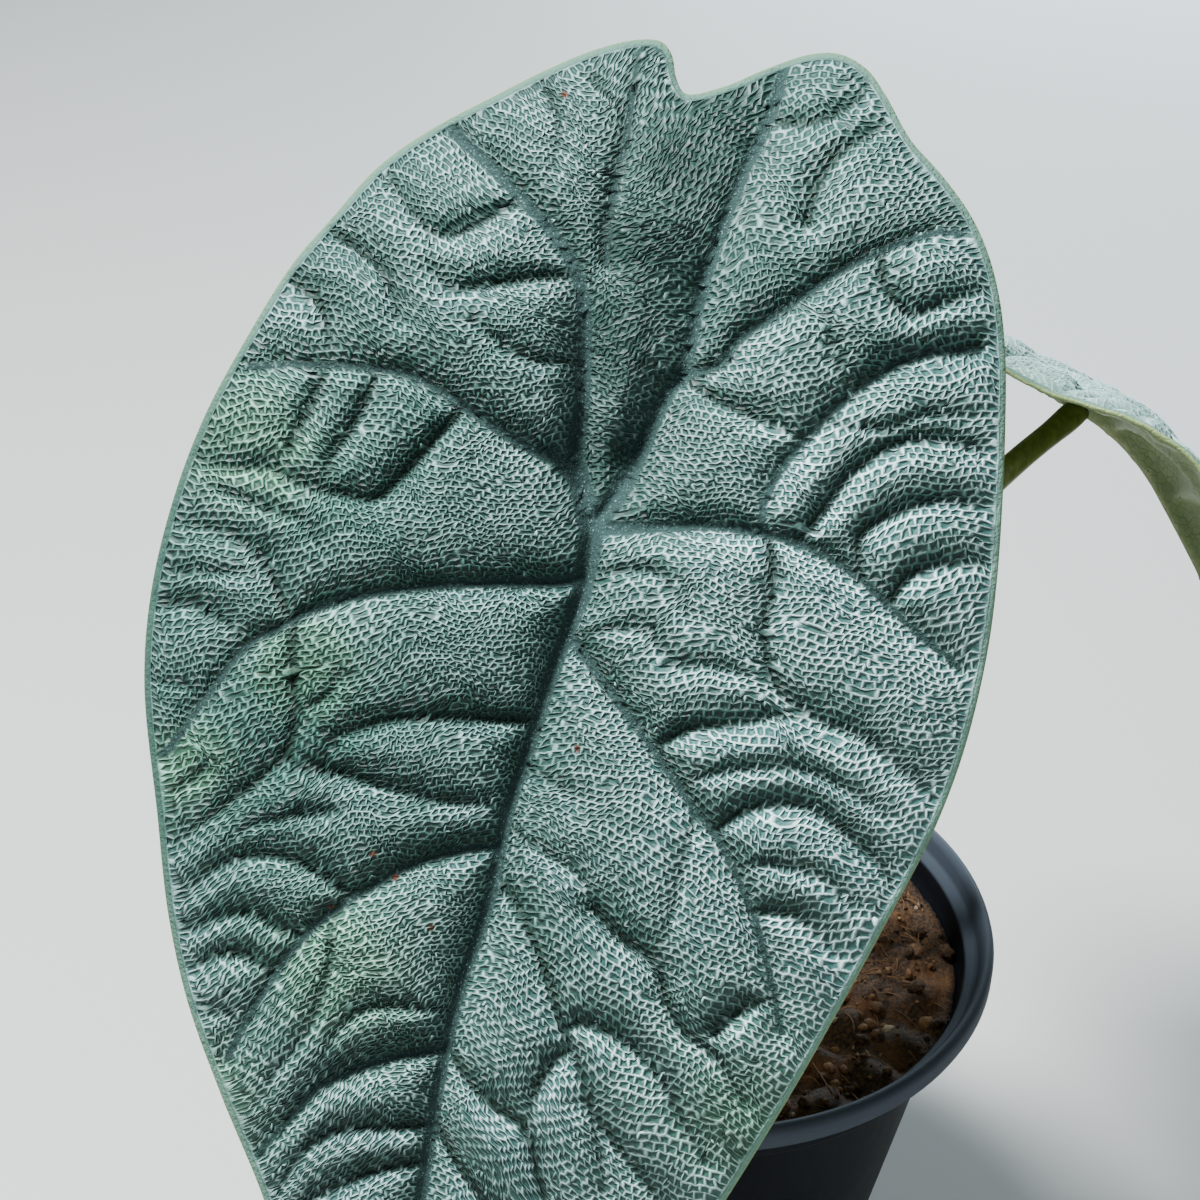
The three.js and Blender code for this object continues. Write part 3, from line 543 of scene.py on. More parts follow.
def place_back(x, y, h):
    """The midrib bends down hard past the navel, runs nearly straight, and droops again near the tip."""
    run = np.arange(0, BEND_REACH, BEND_STEP)
    towards_tip = np.where(run < NECK_END, NECK_BEND, np.where(run < STRAIGHT_END, STRAIGHT_BEND, TIP_BEND))
    placed = np.zeros((len(x), 3))
    for side, bend in ((y <= 0, towards_tip), (y > 0, np.full(len(run), LOBE_BEND))):
        angles = np.cumsum(bend * BEND_STEP)
        stations = np.concatenate([[0], run + BEND_STEP])
        reaches = np.cumsum(np.cos(angles)) * BEND_STEP
        drops = np.cumsum(np.sin(angles)) * BEND_STEP
        angle, reach, drop = (
            np.interp(np.abs(y[side]), stations, np.concatenate([[0], values]))
            for values in (angles, reaches, drops)
        )
        sign = np.where(y[side] > 0, 1, -1)
        outward = sign * (reach + h[side] * np.sin(angle))
        upward = h[side] * np.cos(angle) - drop
        placed[side] = np.stack([x[side], outward, upward], 1)
    return placed


print("past its navel the back leaf bends", round(math.degrees(NECK_END * NECK_BEND)), "degrees")

# %% [markdown]
# ## Where each leaf stands
# A leaf's own axes are its facing, the direction towards its lobes, and the cross product of the two. The
# drawing is scaled, laid on these axes and carried to the navel, just as the plain blades in the frame
# were.

# %% Leaf frames
POT_HEIGHT = 100


class Leaf:
    def __init__(self, name, form, place, scale, navel, facing, towards_lobes):
        self.name = name
        self.form = form
        self.place = place
        self.scale = scale
        self.navel = np.array(navel)
        self.normal = np.array(facing) / np.linalg.norm(facing)
        lobes = np.array(towards_lobes)
        lobes = lobes - (lobes @ self.normal) * self.normal
        self.up = lobes / np.linalg.norm(lobes)
        self.side = np.cross(self.up, self.normal)

    def to_world(self, x, y, h):
        local = self.place(x, y, h) * self.scale
        return self.navel + local @ np.stack([self.side, self.up, self.normal])


front_leaf = Leaf(
    "front_leaf", front_form, place_front, 1.0,
    navel=(-22.2, -43.9, POT_HEIGHT + 115),
    facing=(0, -0.844, 0.536),
    towards_lobes=(-0.032, 0.536, 0.844),
)
back_leaf = Leaf(
    "back_leaf", back_form, place_back, 0.8,
    navel=(71.3, 32.6, POT_HEIGHT + 102),
    facing=(0.462, 0.28, 0.842),
    towards_lobes=(-0.868, 0.339, 0.363),
)
print("navels stand", front_leaf.navel[2], "and", back_leaf.navel[2], "mm above the table")

# %% [markdown]
# ## The raised net
# Up close the upper face is a net of fine raised veins over dark little pits, laid in wavy rows like
# brickwork. A noise texture can't draw that: its cells have no rows and its lines no joints. Instead the
# mesh itself is the net. A grid is bent so that its columns follow the midrib and its rows fan out to the
# margin, then every second upright edge is dissolved, which leaves staggered bricks. Poking each brick
# later sinks a pit in its middle.

# %% Bend a straight grid into the flow of the leaf
ROW_FAN = 0.0075
ROW_START = 0.88
RIGHT_STRETCH = 1.12


def on_midrib(y):
    """Where the midrib crosses a height of the drawing."""
    midrib = SPINE_LINES[0]
    return np.interp(-y, -midrib[:, 1], midrib[:, 0])


def flow(u, v):
    fan = ROW_START + ROW_FAN * (np.sqrt(u**2 + 12**2) - 12) + 0.12 * smoothstep(u, 0, 25)
    y = v * fan
    across = np.where(u > 0, RIGHT_STRETCH, 1.0) * u
    x = across + on_midrib(y)
    wave_y = 1.6 * np.sin(x / 8 + 1.3 * np.sin(y / 13)) + 0.8 * np.sin(x / 3.7 + y / 6)
    wave_y += 0.6 * np.sin(x / 1.9 + 1.7 * np.sin(y / 5.3)) * np.sin(y / 4.1 - x / 9)
    wave_x = 1.3 * np.sin(y / 7 + 1.1 * np.sin(x / 11)) + 0.7 * np.sin(y / 2.3 + 1.5 * np.sin(x / 4.7))
    return np.stack([across + on_midrib(y + wave_y) + wave_x * smoothstep(np.abs(u), 0, 5), y + wave_y], 1)


print("half way to the tip the midrib lies", round(-float(on_midrib(-73))), "mm left of the navel")

# %% [markdown]
# ## A smooth margin
# The real leaf ends in a narrow, smooth hem. Cutting a brick pattern leaves a staircase instead, so its
# outermost vertices are slid to a line just inside the margin. They are spread along it in order, because
# two vertices at one place would leave a slit. A boolean with the outline would cut it as well, but it
# leaves slivers all round.

# %% Places along the margin
RIM_STEP = 0.5
RIM_SOFTNESS = 4
RIM_EVENNESS = 0.02
RIM = smooth_line(MARGIN, closed=True, step=RIM_STEP)
rim_run = np.roll(RIM, -2, 0) - np.roll(RIM, 2, 0)
RIM_INWARD = np.stack([rim_run[:, 1], -rim_run[:, 0]], 1) / np.hypot(*rim_run.T)[:, None]


def on_rim(along, inset):
    """The point a share of the way round the margin, moved inwards by an inset."""
    place = (along % 1.0) * len(RIM)
    low = np.floor(place).astype(int) % len(RIM)
    share = (place - np.floor(place))[:, None]
    line = RIM + RIM_INWARD * inset
    return line[low] * (1 - share) + line[(low + 1) % len(RIM)] * share


def ordered(along):
    """Shares that go forward round the loop, however the staircase of bricks steps back and forth."""
    steps = (np.diff(along) + 0.5) % 1.0 - 0.5
    turns = along[0] + np.concatenate([[0], np.cumsum(steps)])
    forward = np.sign(turns[-1] - turns[0])
    turns = turns * forward
    rising = (np.maximum.accumulate(turns) + np.minimum.accumulate(turns[::-1])[::-1]) / 2
    wrapped = np.concatenate([rising[-RIM_SOFTNESS:] - 1, rising, rising[:RIM_SOFTNESS] + 1])
    window = 2 * RIM_SOFTNESS + 1
    soft = np.convolve(wrapped, np.ones(window) / window, "valid")
    even = soft[0] + np.arange(len(soft)) / len(soft)
    return forward * (soft + (even - soft) * RIM_EVENNESS)


print("places along the margin:", len(RIM))

# %% [markdown]
# ## Staggered bricks
# A grid becomes brickwork when every second upright edge is dissolved. The rows aren't equally strong on
# the real leaf, and a few bricks run together, so each row and vertex gets a strength from a seeded
# generator and some more edges go at random. The column of edges on the midrib stays whole, because the
# spine has to be straight.

# %% Lay the bricks
SHEET_SIZE = (150, 400)
BAND_INSETS = (0.95, 0.6, 0.28, 0.0)
BRICK_RATIO = 1.32
SKIPPED_LINKS = 0.08
LINE_JITTER = 0.4
ROW_STRENGTH = (0.78, 0.94)
STRONG_ROW_EVERY = 4
POINT_STRENGTH = (0.94, 1.0)


def lay_bricks(cell, seed):
    """A flat sheet of staggered bricks cut to the leaf, with a smooth band round it. Millimetres."""
    random = np.random.default_rng(seed)
    bm = bmesh.new()
    across, down = SHEET_SIZE
    columns, rows = 2 * round(across / cell / 2), round(down / (BRICK_RATIO * cell))
    bmesh.ops.create_grid(bm, x_segments=columns, y_segments=rows, size=1.0)
    column_layer = bm.verts.layers.int.new("column")
    row_layer = bm.verts.layers.int.new("row")
    net_layer = bm.verts.layers.float.new("net")
    flat = np.array([v.co[:2] for v in bm.verts])
    bent = flow(flat[:, 0] * across / 2, flat[:, 1] * down / 2)
    bent += random.uniform(-LINE_JITTER, LINE_JITTER, bent.shape) * cell
    keel = (np.abs(flat[:, 0]) < 1 / columns) & (flat[:, 1] < 0)
    bent[keel, 0] = on_midrib(bent[keel, 1])
    strength = random.uniform(*ROW_STRENGTH, rows + 1)
    strength[::STRONG_ROW_EVERY] = 1.0
    for vert, (u, v), (x, y) in zip(bm.verts, flat, bent):
        vert[column_layer] = round((u + 1) / 2 * columns)
        vert[row_layer] = round((v + 1) / 2 * rows)
        vert[net_layer] = strength[vert[row_layer]] * random.uniform(*POINT_STRENGTH)
        vert.co = (x, y, 0)
    kept = inside(MARGIN_LINE, bent)
    outside = [v for v, keep in zip(bm.verts, kept) if not keep]
    bmesh.ops.delete(bm, geom=outside, context="VERTS")
    links = [
        e for e in bm.edges
        if e.verts[0][column_layer] == e.verts[1][column_layer] and len(e.link_faces) == 2
    ]
    skipped = random.random(len(links)) < SKIPPED_LINKS
    staggered = [
        e for e, skip in zip(links, skipped)
        if (e.verts[0][column_layer] != columns // 2 or e.verts[0].co.y > 0)
        and (skip or (e.verts[0][column_layer] + min(v[row_layer] for v in e.verts)) % 2)
    ]
    bmesh.ops.dissolve_edges(bm, edges=staggered, use_verts=False)
    return bm, net_layer


print("a sheet of bricks is", SHEET_SIZE[0], "by", SHEET_SIZE[1], "mm before it is cut")

# %% [markdown]
# ## Trimming and hemming
# Bricks that lie outside the margin, or hang on to the rest by a corner only, are deleted. The loop round
# what is left is slid on to the first line of the hem, and extruding that loop a few times builds the hem
# itself.

# %% Trim the bricks to the margin and add the smooth band
def island(start):
    """All faces that hang together with a face."""
    found = {start}
    edge_of_search = [start]
    while edge_of_search:
        face = edge_of_search.pop()
        for edge in face.edges:
            for other in edge.link_faces:
                if other not in found:
                    found.add(other)
                    edge_of_search.append(other)
    return found


def boundary_loop(bm):
    """The vertices round a sheet, in order, starting at the same one in each run."""
    bm.verts.index_update()
    edges = {e for e in bm.edges if e.is_boundary}
    start = min((v for e in edges for v in e.verts), key=lambda v: v.index)
    loop = [start]
    before = None
    while True:
        following = [e.other_vert(loop[-1]) for e in loop[-1].link_edges if e in edges]
        step = following[0] if following[0] is not before else following[1]
        if step is start:
            return loop
        before = loop[-1]
        loop.append(step)


def trim_to_margin(bm, cell):
    inset = BAND_INSETS[0]
    centres = np.array([f.calc_center_median()[:2] for f in bm.faces])
    room = nearest(MARGIN_LINE, centres, closed=True)[0]
    kept = inside(MARGIN_LINE, centres) & (room > inset + 0.5 * cell)
    outside = [f for f, keep in zip(bm.faces, kept) if not keep]
    bmesh.ops.delete(bm, geom=outside, context="FACES")
    middle = min(bm.faces, key=lambda f: f.calc_center_median().length)
    joined = island(middle)
    bmesh.ops.delete(bm, geom=[f for f in bm.faces if f not in joined], context="FACES")
    loose = [v for v in bm.verts if not v.link_faces]
    bmesh.ops.delete(bm, geom=loose, context="VERTS")

    along_layer = bm.verts.layers.float.new("along")
    loop = boundary_loop(bm)
    places = np.array([v.co[:2] for v in loop])
    shares = ordered(nearest(RIM, places, closed=True)[1])
    for vert, share, (x, y) in zip(loop, shares, on_rim(shares, inset)):
        vert[along_layer] = share
        vert.co = (x, y, 0)
    rim_edges = [e for e in bm.edges if e.is_boundary]
    for band in BAND_INSETS[1:]:
        grown = bmesh.ops.extrude_edge_only(bm, edges=rim_edges)["geom"]
        verts = [g for g in grown if isinstance(g, bmesh.types.BMVert)]
        for vert, (x, y) in zip(verts, on_rim(np.array([v[along_layer] for v in verts]), band)):
            vert.co = (x, y, 0)
        fresh = set(verts)
        rim_edges = [g for g in grown if isinstance(g, bmesh.types.BMEdge) and set(g.verts) <= fresh]
    return bm


print("the hem is", BAND_INSETS[0], "mm wide")

# %% [markdown]
# ## From a flat net to a thick blade
# Extruding the whole sheet gives it an underside and closes it round the margin. Only then are the upper
# bricks poked: each gets a vertex in its middle, which becomes the bottom of a pit. The underside stays
# unpoked, because it is smooth between its ribs, and that halves its share of the faces.

# %% Thicken the sheet and poke the pits
def make_sheet(cell, seed):
    bm, net_layer = lay_bricks(cell, seed)
    trim_to_margin(bm, cell)
    net_faces = bm.faces.layers.int.new("net_face")
    for face in bm.faces:
        face[net_faces] = 1 if len(face.verts) > 4 else 0
    upper_layer = bm.verts.layers.float.new("upper")
    grown = bmesh.ops.extrude_face_region(bm, geom=bm.faces[:])["geom"]
    for vert in (g for g in grown if isinstance(g, bmesh.types.BMVert)):
        vert[upper_layer] = 1.0
        vert.co.z = 1.0
    upper = [f for f in bm.faces if f[net_faces] and all(v[upper_layer] for v in f.verts)]
    pits = bmesh.ops.poke(bm, faces=upper)["verts"]
    for vert in pits:
        vert[upper_layer] = 1.0
        vert[net_layer] = 0.0
    lower = [f for f in bm.faces if len(f.verts) > 4]
    bmesh.ops.triangulate(bm, faces=lower)
    bmesh.ops.recalc_face_normals(bm, faces=bm.faces)
    return bm


print("the sheet's two faces can now be shaped apart")

# %% [markdown]
# ## Shaping a blade
# The flat sheet gets its height, thickness, grooves and ribs at each vertex, and is carried to its place on
# the plant. What the finish has to know, such as how near a vein is, is written on the vertices as
# attributes, because a texture alone couldn't follow the veins. How much each slope turns up or down
# against the leaf's smooth form is kept too, so that the finish can paint the slopes that turn down darker
# and those that turn up paler, as painted shade and painted light.

# %% Measure and shape a blade
THICKNESS = 1.1
MARGIN_THICKNESS = 0.4
THINNING_WIDTH = 0.8
NET_DEPTH = 0.3
RIB_HEIGHT, RIB_WIDTH = 1.1, 1.6
SIDE_RIB_HEIGHT, SIDE_RIB_WIDTH = 0.6, 1.0
SWELLING_HEIGHT = 0.08
SPECK_SIZE = 0.8
TINTS = [(-44, -22, 8), (-62, -38, 7), (-38, -70, 13), (-52, 12, 11), (24, -92, 15), (-60, -90, 12)]
# Spots of painted shade along the pocket between the lobes, up from the navel.
POCKET_SHADE_SPOTS = [(2, 10, 10), (6, 26, 12), (9, 42, 11), (14, 56, 10), (21, 62, 8)]
PAINTED_SLOPE_SHADING_RANGE = 0.5
SPECKS = [(-33.5, -51.3), (-30, -55), (-40, -59.3), (-2, -35), (-24.5, -62.7), (-3.9, 66)]


def add_reading(mesh, name, values):
    mesh.attributes.new(name, "FLOAT", "POINT").data.foreach_set("value", values.astype(np.float32))


def spots(points, places, sizes):
    """How much each point lies in one of a few round spots, from 0 to 1."""
    gaps = ((points[:, None] - np.array(places)[None]) ** 2).sum(2)
    return np.exp(-gaps / np.array(sizes) ** 2).max(1)


def shape_blade(leaf, cell, seed):
    bm = make_sheet(cell / leaf.scale, seed)
    mesh = bpy.data.meshes.new(leaf.name)
    bm.to_mesh(mesh)
    bm.free()
    count = len(mesh.vertices)
    flat = np.zeros(count * 3)
    mesh.vertices.foreach_get("co", flat)
    points = flat.reshape(-1, 3)[:, :2]
    net, upper = np.zeros(count), np.zeros(count)
    mesh.attributes["net"].data.foreach_get("value", net)
    mesh.attributes["upper"].data.foreach_get("value", upper)
    chart = LeafMap(points, upper > 0.5)

    nearness = np.exp(-np.hypot(chart.x, chart.y) / 15)
    plain = np.maximum.reduce([
        np.exp(-((chart.to_spine / (1.0 + 1.4 * nearness)) ** 4)),
        np.exp(-((chart.to_lateral / (0.5 + 1.0 * nearness)) ** 4)),
        1 - smoothstep(chart.to_margin, 0.65, 1.25),
    ])
    net_height = NET_DEPTH * (net - 1) * (1 - plain) / leaf.scale
    edge = np.sqrt(np.clip(chart.to_margin / THINNING_WIDTH, 0, 1))
    thickness = (MARGIN_THICKNESS + (THICKNESS - MARGIN_THICKNESS) * edge) / leaf.scale
    side_ribs = SIDE_RIB_HEIGHT * smoothstep(chart.to_spine, 1, 8)
    side_ribs = side_ribs * np.exp(-((chart.to_lateral / SIDE_RIB_WIDTH) ** 2))
    ribs = RIB_HEIGHT * np.exp(-((chart.to_spine / RIB_WIDTH) ** 2)) + side_ribs
    ribs = ribs * smoothstep(chart.to_margin, 0.5, 8) / leaf.scale
    ripple_across = np.sin(chart.x / 1.7 + 2 * np.sin(chart.y / 3.1))
    ripple_along = np.sin(chart.y / 1.9 + np.sin(chart.x / 2.7))
    swellings = SWELLING_HEIGHT * ripple_across * ripple_along
    middle = leaf.form(chart) + chart.quilting + swellings * (1 - plain) - THICKNESS / 2 / leaf.scale
    height = np.where(upper > 0.5, middle + thickness / 2 + net_height, middle - thickness / 2 - ribs)
    facing_up = []
    for heights in (leaf.form(chart), middle):
        mesh.vertices.foreach_set("co", (leaf.to_world(chart.x, chart.y, heights + upper / 2) * MM).ravel())
        normals = np.zeros(count * 3)
        mesh.vertex_normals.foreach_get("vector", normals)
        facing_up.append(normals.reshape(-1, 3)[:, 2])
    # Painted light and shade: near 1 where a slope turns up from the smooth form, near 0 where it turns down.
    painted_slope_shading = smoothstep(facing_up[1] - facing_up[0], -PAINTED_SLOPE_SHADING_RANGE, PAINTED_SLOPE_SHADING_RANGE)
    mesh.vertices.foreach_set("co", (leaf.to_world(chart.x, chart.y, height) * MM).ravel())

    for name in ("column", "row", "along", "net_face"):
        mesh.attributes.remove(mesh.attributes[name])
    centres, sizes = [t[:2] for t in TINTS], [t[2] for t in TINTS]
    add_reading(mesh, "plain", plain)
    lobes = smoothstep(chart.y, 0, 40)
    towards_tip = smoothstep(-chart.y, 40, 95)
    # Partly the leaf's own silvering and partly painted light: the left half is painted darker, the right
    # half and the tip paler.
    silvering_and_painted_light = smoothstep(chart.x, -38, 40) * (1 - lobes) + 0.42 * lobes
    silvering_and_painted_light = silvering_and_painted_light + 0.6 * towards_tip * (1 - silvering_and_painted_light)
    add_reading(mesh, "silvering_and_painted_light", silvering_and_painted_light if leaf is front_leaf else np.full(count, 0.5))
    add_reading(mesh, "painted_slope_shading", painted_slope_shading)
    # deep is painted shade in the pocket between the lobes.
    add_reading(mesh, "deep", spots(points, [d[:2] for d in POCKET_SHADE_SPOTS], [d[2] for d in POCKET_SHADE_SPOTS]))
    # Painted shade in the bottoms of the grooves, faded out at the margin.
    add_reading(mesh, "painted_crevice_shade", chart.painted_crevice_shade * smoothstep(chart.to_margin, 0.4, 2.5))
    add_reading(mesh, "edge", chart.to_margin)
    vein = np.exp(-((chart.to_spine / 1.5) ** 2)) + 0.7 * np.exp(-((chart.to_lateral / 1.1) ** 2))
    add_reading(mesh, "vein", vein)
    add_reading(mesh, "tint", spots(points, centres, sizes))
    add_reading(mesh, "speck", spots(points, SPECKS, [SPECK_SIZE] * len(SPECKS)))
    mesh.update()
    print(leaf.name, "has", sum(len(p.vertices) - 2 for p in mesh.polygons), "triangles")
    return mesh


print("spots with a colour of their own:", len(TINTS) + len(POCKET_SHADE_SPOTS) + len(SPECKS))

# %% [markdown]
# ## The upper face
# The upper face is a dull blue-grey green. Its fine veins are painted pale, as a painted highlight, the pits
# between them dark, as painted shade, and the big veins smooth and dark. The bottoms of the grooves, the
# pocket between the lobes and the slopes that turn down get painted shade as well, the left half is painted
# darker than the right, and small pale glints are painted on the big veins. All of that is read from the
# mesh: `net` is 1 on a raised line and 0 in a pit, so a step on it draws each line thin and sharp, finer
# than the mesh. An image could hold the same, but it would blur up close.

# %% The upper face
def upper_finish(name, contrast):
    """contrast is how far the pits are painted darker and the ridges paler, as painted shade and highlight:
    less on a leaf that is seen along its face.
    """
    leaf = Finish(name)
    net, plain, painted_crevice_shade = leaf.reading("net"), leaf.reading("plain"), leaf.reading("painted_crevice_shade")
    edge, vein, tint = leaf.reading("edge"), leaf.reading("vein"), leaf.reading("tint")
    silvering_and_painted_light = leaf.reading("silvering_and_painted_light")
    # cloud is mostly painted light, darker on the left half and paler on the right half and tip, with some
    # noise for the leaf's own silver patches.
    cloud = 0.3 * leaf.step(leaf.noise(22, detail=3), 0.35, 0.65) + 0.7 * silvering_and_painted_light
    grain = leaf.noise(0.35, detail=2)
    crinkle = leaf.noise(0.7, detail=3)
    netted = 1 - leaf.step(plain, 0.3, 0.7)
    line = leaf.step(net + 0.4 * crinkle, 0.72, 1.05) * netted
    ridge_height = leaf.step(net + 0.2 * crinkle, 0.2, 1.1) * netted
    painted_slope_shading = leaf.reading("painted_slope_shading")
    # The ridges' colour is painted pale, as a painted highlight, and the pits' colour dark, as painted shade.
    ridge_with_painted_highlight = leaf.mix(cloud, (0.088, 0.24, 0.205), (0.74, 0.99, 1.0))
    ridge_with_painted_highlight = leaf.mix(tint * 0.5, ridge_with_painted_highlight, (0.28, 0.60, 0.34))
    # Painted shade: slopes that turn down get darker ridges and pits, slopes that turn up keep the paler
    # ones.
    ridge_with_painted_highlight = leaf.mix(painted_slope_shading, (0.040, 0.115, 0.092), ridge_with_painted_highlight)
    pit_with_painted_shade = leaf.mix(cloud, (0.006, 0.037, 0.029), (0.050, 0.154, 0.144))
    pit_with_painted_shade = leaf.mix(tint * 0.6, pit_with_painted_shade, (0.028, 0.105, 0.035))
    pit_with_painted_shade = leaf.mix(painted_slope_shading, (0.004, 0.022, 0.015), pit_with_painted_shade)
    colour = leaf.mix(line * contrast + (1 - contrast), pit_with_painted_shade, ridge_with_painted_highlight)
    # Painted shade in the pocket between the lobes.
    colour = leaf.mix(leaf.reading("deep") * 0.94, colour, (0.008, 0.034, 0.025))
    # Painted shade in the bottoms of the grooves.
    colour = leaf.mix(leaf.step(painted_crevice_shade, 0.1, 0.8) * 0.94, colour, (0.005, 0.022, 0.015))
    colour = leaf.mix(leaf.step(plain, 0.3, 0.8) * 0.85, colour, (0.010, 0.032, 0.030))
    # Painted glints: small pale spots on the big veins, where the roughness also drops.
    painted_glint = leaf.step(grain, 0.6, 0.7) * vein
    colour = leaf.mix(painted_glint * 0.45, colour, (0.20, 0.33, 0.34))
    band = 1 - leaf.step(edge, 0.65, 1.05)
    # The hem follows the same painted light: darker on the left, paler on the right.
    rim = leaf.mix(silvering_and_painted_light, (0.035, 0.085, 0.040), (0.20, 0.29, 0.12))
    colour = leaf.mix(band * 0.85, colour, leaf.mix(silvering_and_painted_light, (0.028, 0.080, 0.058), (0.15, 0.30, 0.23)))
    colour = leaf.mix((1 - leaf.step(edge, 0.05, 0.35)) * 0.8, colour, rim)
    colour = leaf.mix(leaf.step(leaf.reading("speck"), 0.4, 0.8), colour, (0.09, 0.03, 0.015))
    relief = leaf.bump(ridge_height, 0.52 * contrast)
    relief = leaf.bump(grain, 0.03, below=relief)
    relief = leaf.bump(crinkle * (1 - netted), 0.5, below=relief)
    return leaf.paint(
        Base_Color=colour,
        Roughness=0.46 + 0.12 * grain + 0.08 * (1 - line) + 0.32 * (1 - netted) - 0.4 * painted_glint,
        Normal=relief,
        Specular_IOR_Level=0.4,
    )


# %% [markdown]
# ## The underside
# Below, the leaf is a plain grey olive with paler ribs and no raised net. The distance to the edges of a
# Voronoi texture's cells draws the faint small veins there, because they are hardly seen and need no faces
# of their own.

# %% The underside
def lower_finish():
    leaf = Finish("leaf_lower")
    vein, edge = leaf.reading("vein"), leaf.reading("edge")
    cloud = leaf.noise(15, detail=3)
    cells = leaf.node(
        "ShaderNodeTexVoronoi",
        {"feature": "DISTANCE_TO_EDGE"},
        {"Vector": leaf.place(), "Scale": 0.7},
    )
    colour = leaf.mix(leaf.step(cloud, 0.3, 0.7), (0.12, 0.17, 0.06), (0.17, 0.22, 0.09))
    colour = leaf.mix((1 - leaf.step(cells, 0.0, 0.12)) * 0.35, colour, (0.07, 0.11, 0.03))
    colour = leaf.mix(leaf.step(vein, 0.3, 0.9) * 0.6, colour, (0.27, 0.31, 0.14))
    colour = leaf.mix((1 - leaf.step(edge, 0.05, 0.35)) * 0.5, colour, (0.16, 0.22, 0.08))
    relief = leaf.bump(leaf.step(cells, 0.0, 0.15), 0.06)
    return leaf.paint(Base_Color=colour, Roughness=0.5 + 0.12 * cloud, Normal=relief)


UPPER_FINISHES = {
    "front_leaf": upper_finish("front_leaf_upper", 1.0),
    "back_leaf": upper_finish("back_leaf_upper", 0.45),
}
LOWER_FINISH = lower_finish()
print("leaf finishes:", *(f.name for f in UPPER_FINISHES.values()), LOWER_FINISH.name)

# %% [markdown]
# ## Both blades
# The two leaves are made by the same steps from the same drawing, the back one smaller. A face whose
# corners all lie on the upper sheet gets the upper finish, and every other face the lower one.

# %% Make both blades
def add_piece(name, mesh, finishes, nodes=()):
    """Link a mesh in metres as a smooth piece that rides with the pot and stands for some nodes."""
    for finish in finishes:
        mesh.materials.append(finish)
    mesh.polygons.foreach_set("use_smooth", [True] * len(mesh.polygons))
    piece = bpy.data.objects.new(name, mesh)
    bpy.context.scene.collection.objects.link(piece)
    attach(piece, "root")
    if nodes:
        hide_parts(*nodes)
    return piece


def make_blade(leaf, node, cell, seed):
    mesh = shape_blade(leaf, cell, seed)
    upper = np.zeros(len(mesh.vertices))
    mesh.attributes["upper"].data.foreach_get("value", upper)
    sides = [0 if min(upper[list(p.vertices)]) > 0.5 else 1 for p in mesh.polygons]
    mesh.polygons.foreach_set("material_index", sides)
    return add_piece(leaf.name, mesh, [UPPER_FINISHES[leaf.name], LOWER_FINISH], [node])


make_blade(front_leaf, "leaf_front", cell=0.64, seed=11)
make_blade(back_leaf, "leaf_back", cell=0.70, seed=12)

# %% [markdown]
# ## Stems
# Both petioles leave the crown and arch outwards to their navels. A stem is a round face pushed along its
# curve: each extrusion makes the next ring. A layer carries each vertex's angle round the stem, and
# extruding copies it, so every ring knows where its vertices belong however they are listed.

# %% Push a round face along a curve
SOIL_LEVEL = POT_HEIGHT - 10.6
CROWN_FOOT = SOIL_LEVEL - 22
FRONT_STEM = [
    (-3.4, -1.6, CROWN_FOOT + 8), (-8, -4.5, POT_HEIGHT + 28), (-15, -15, POT_HEIGHT + 70),
    (-20, -31, POT_HEIGHT + 99),
]
BACK_STEM = [
    (3.8, 1.4, CROWN_FOOT + 8), (12, 5, POT_HEIGHT + 30), (29, 10, POT_HEIGHT + 66),
    (54, 18.5, POT_HEIGHT + 92.6), (65.2, 26.6, POT_HEIGHT + 98.9),
]
SHEATH_SHARE = 0.2
STEM_STEP = 2.0
STEM_SIDES = 24


class Stem:
    """A curve in space with a side and a front direction at each point."""

    def __init__(self, knots, leaf):
        self.line = smooth_line([*knots, tuple(leaf.navel)], step=STEM_STEP)
        self.length = len(self.line) * STEM_STEP
        ahead = np.gradient(self.line, axis=0)
        ahead /= np.linalg.norm(ahead, axis=1)[:, None]
        across = np.cross((0, 1, 0), ahead)
        self.side = across / np.linalg.norm(across, axis=1)[:, None]
        self.front = np.cross(self.side, ahead)

    def at(self, share, turn, radius):
        """Points round the curve, from arrays of shares along it, turns round it and radii."""
        place = np.clip(share, 0, 1) * (len(self.line) - 1)
        line, side, front = (
            np.stack([np.interp(place, np.arange(len(a)), a[:, axis]) for axis in range(3)], 1)
            for a in (self.line, self.side, self.front)
        )
        return line + radius[:, None] * (np.cos(turn)[:, None] * side + np.sin(turn)[:, None] * front)


def push_stem(stem, shares, radius_at):
    """A closed stem. radius_at gives the radii of a ring from its share along the curve and its turns."""
    bm = bmesh.new()
    turn_layer = bm.verts.layers.float.new("turn")
    run_layer = bm.verts.layers.float.new("run")
    ring = bmesh.ops.create_circle(bm, cap_ends=True, segments=STEM_SIDES, radius=1.0)["verts"]
    for vert in ring:
        vert[turn_layer] = math.atan2(vert.co.y, vert.co.x)
    cap = bm.faces[:][0]
    for i, share in enumerate(shares):
        if i:
            grown = bmesh.ops.extrude_face_region(bm, geom=[cap, *cap.edges])["geom"]
            cap = next(g for g in grown if isinstance(g, bmesh.types.BMFace))
            ring = [g for g in grown if isinstance(g, bmesh.types.BMVert)]
        turns = np.array([v[turn_layer] for v in ring])
        places = stem.at(np.full(len(ring), share), turns, radius_at(share, turns))
        for vert, place in zip(ring, places):
            vert.co = place
            vert[run_layer] = share
    bmesh.ops.recalc_face_normals(bm, faces=bm.faces)
    return bm


front_stem = Stem(FRONT_STEM, front_leaf)
back_stem = Stem(BACK_STEM, back_leaf)
print("stem lengths:", round(front_stem.length), "and", round(back_stem.length), "mm")

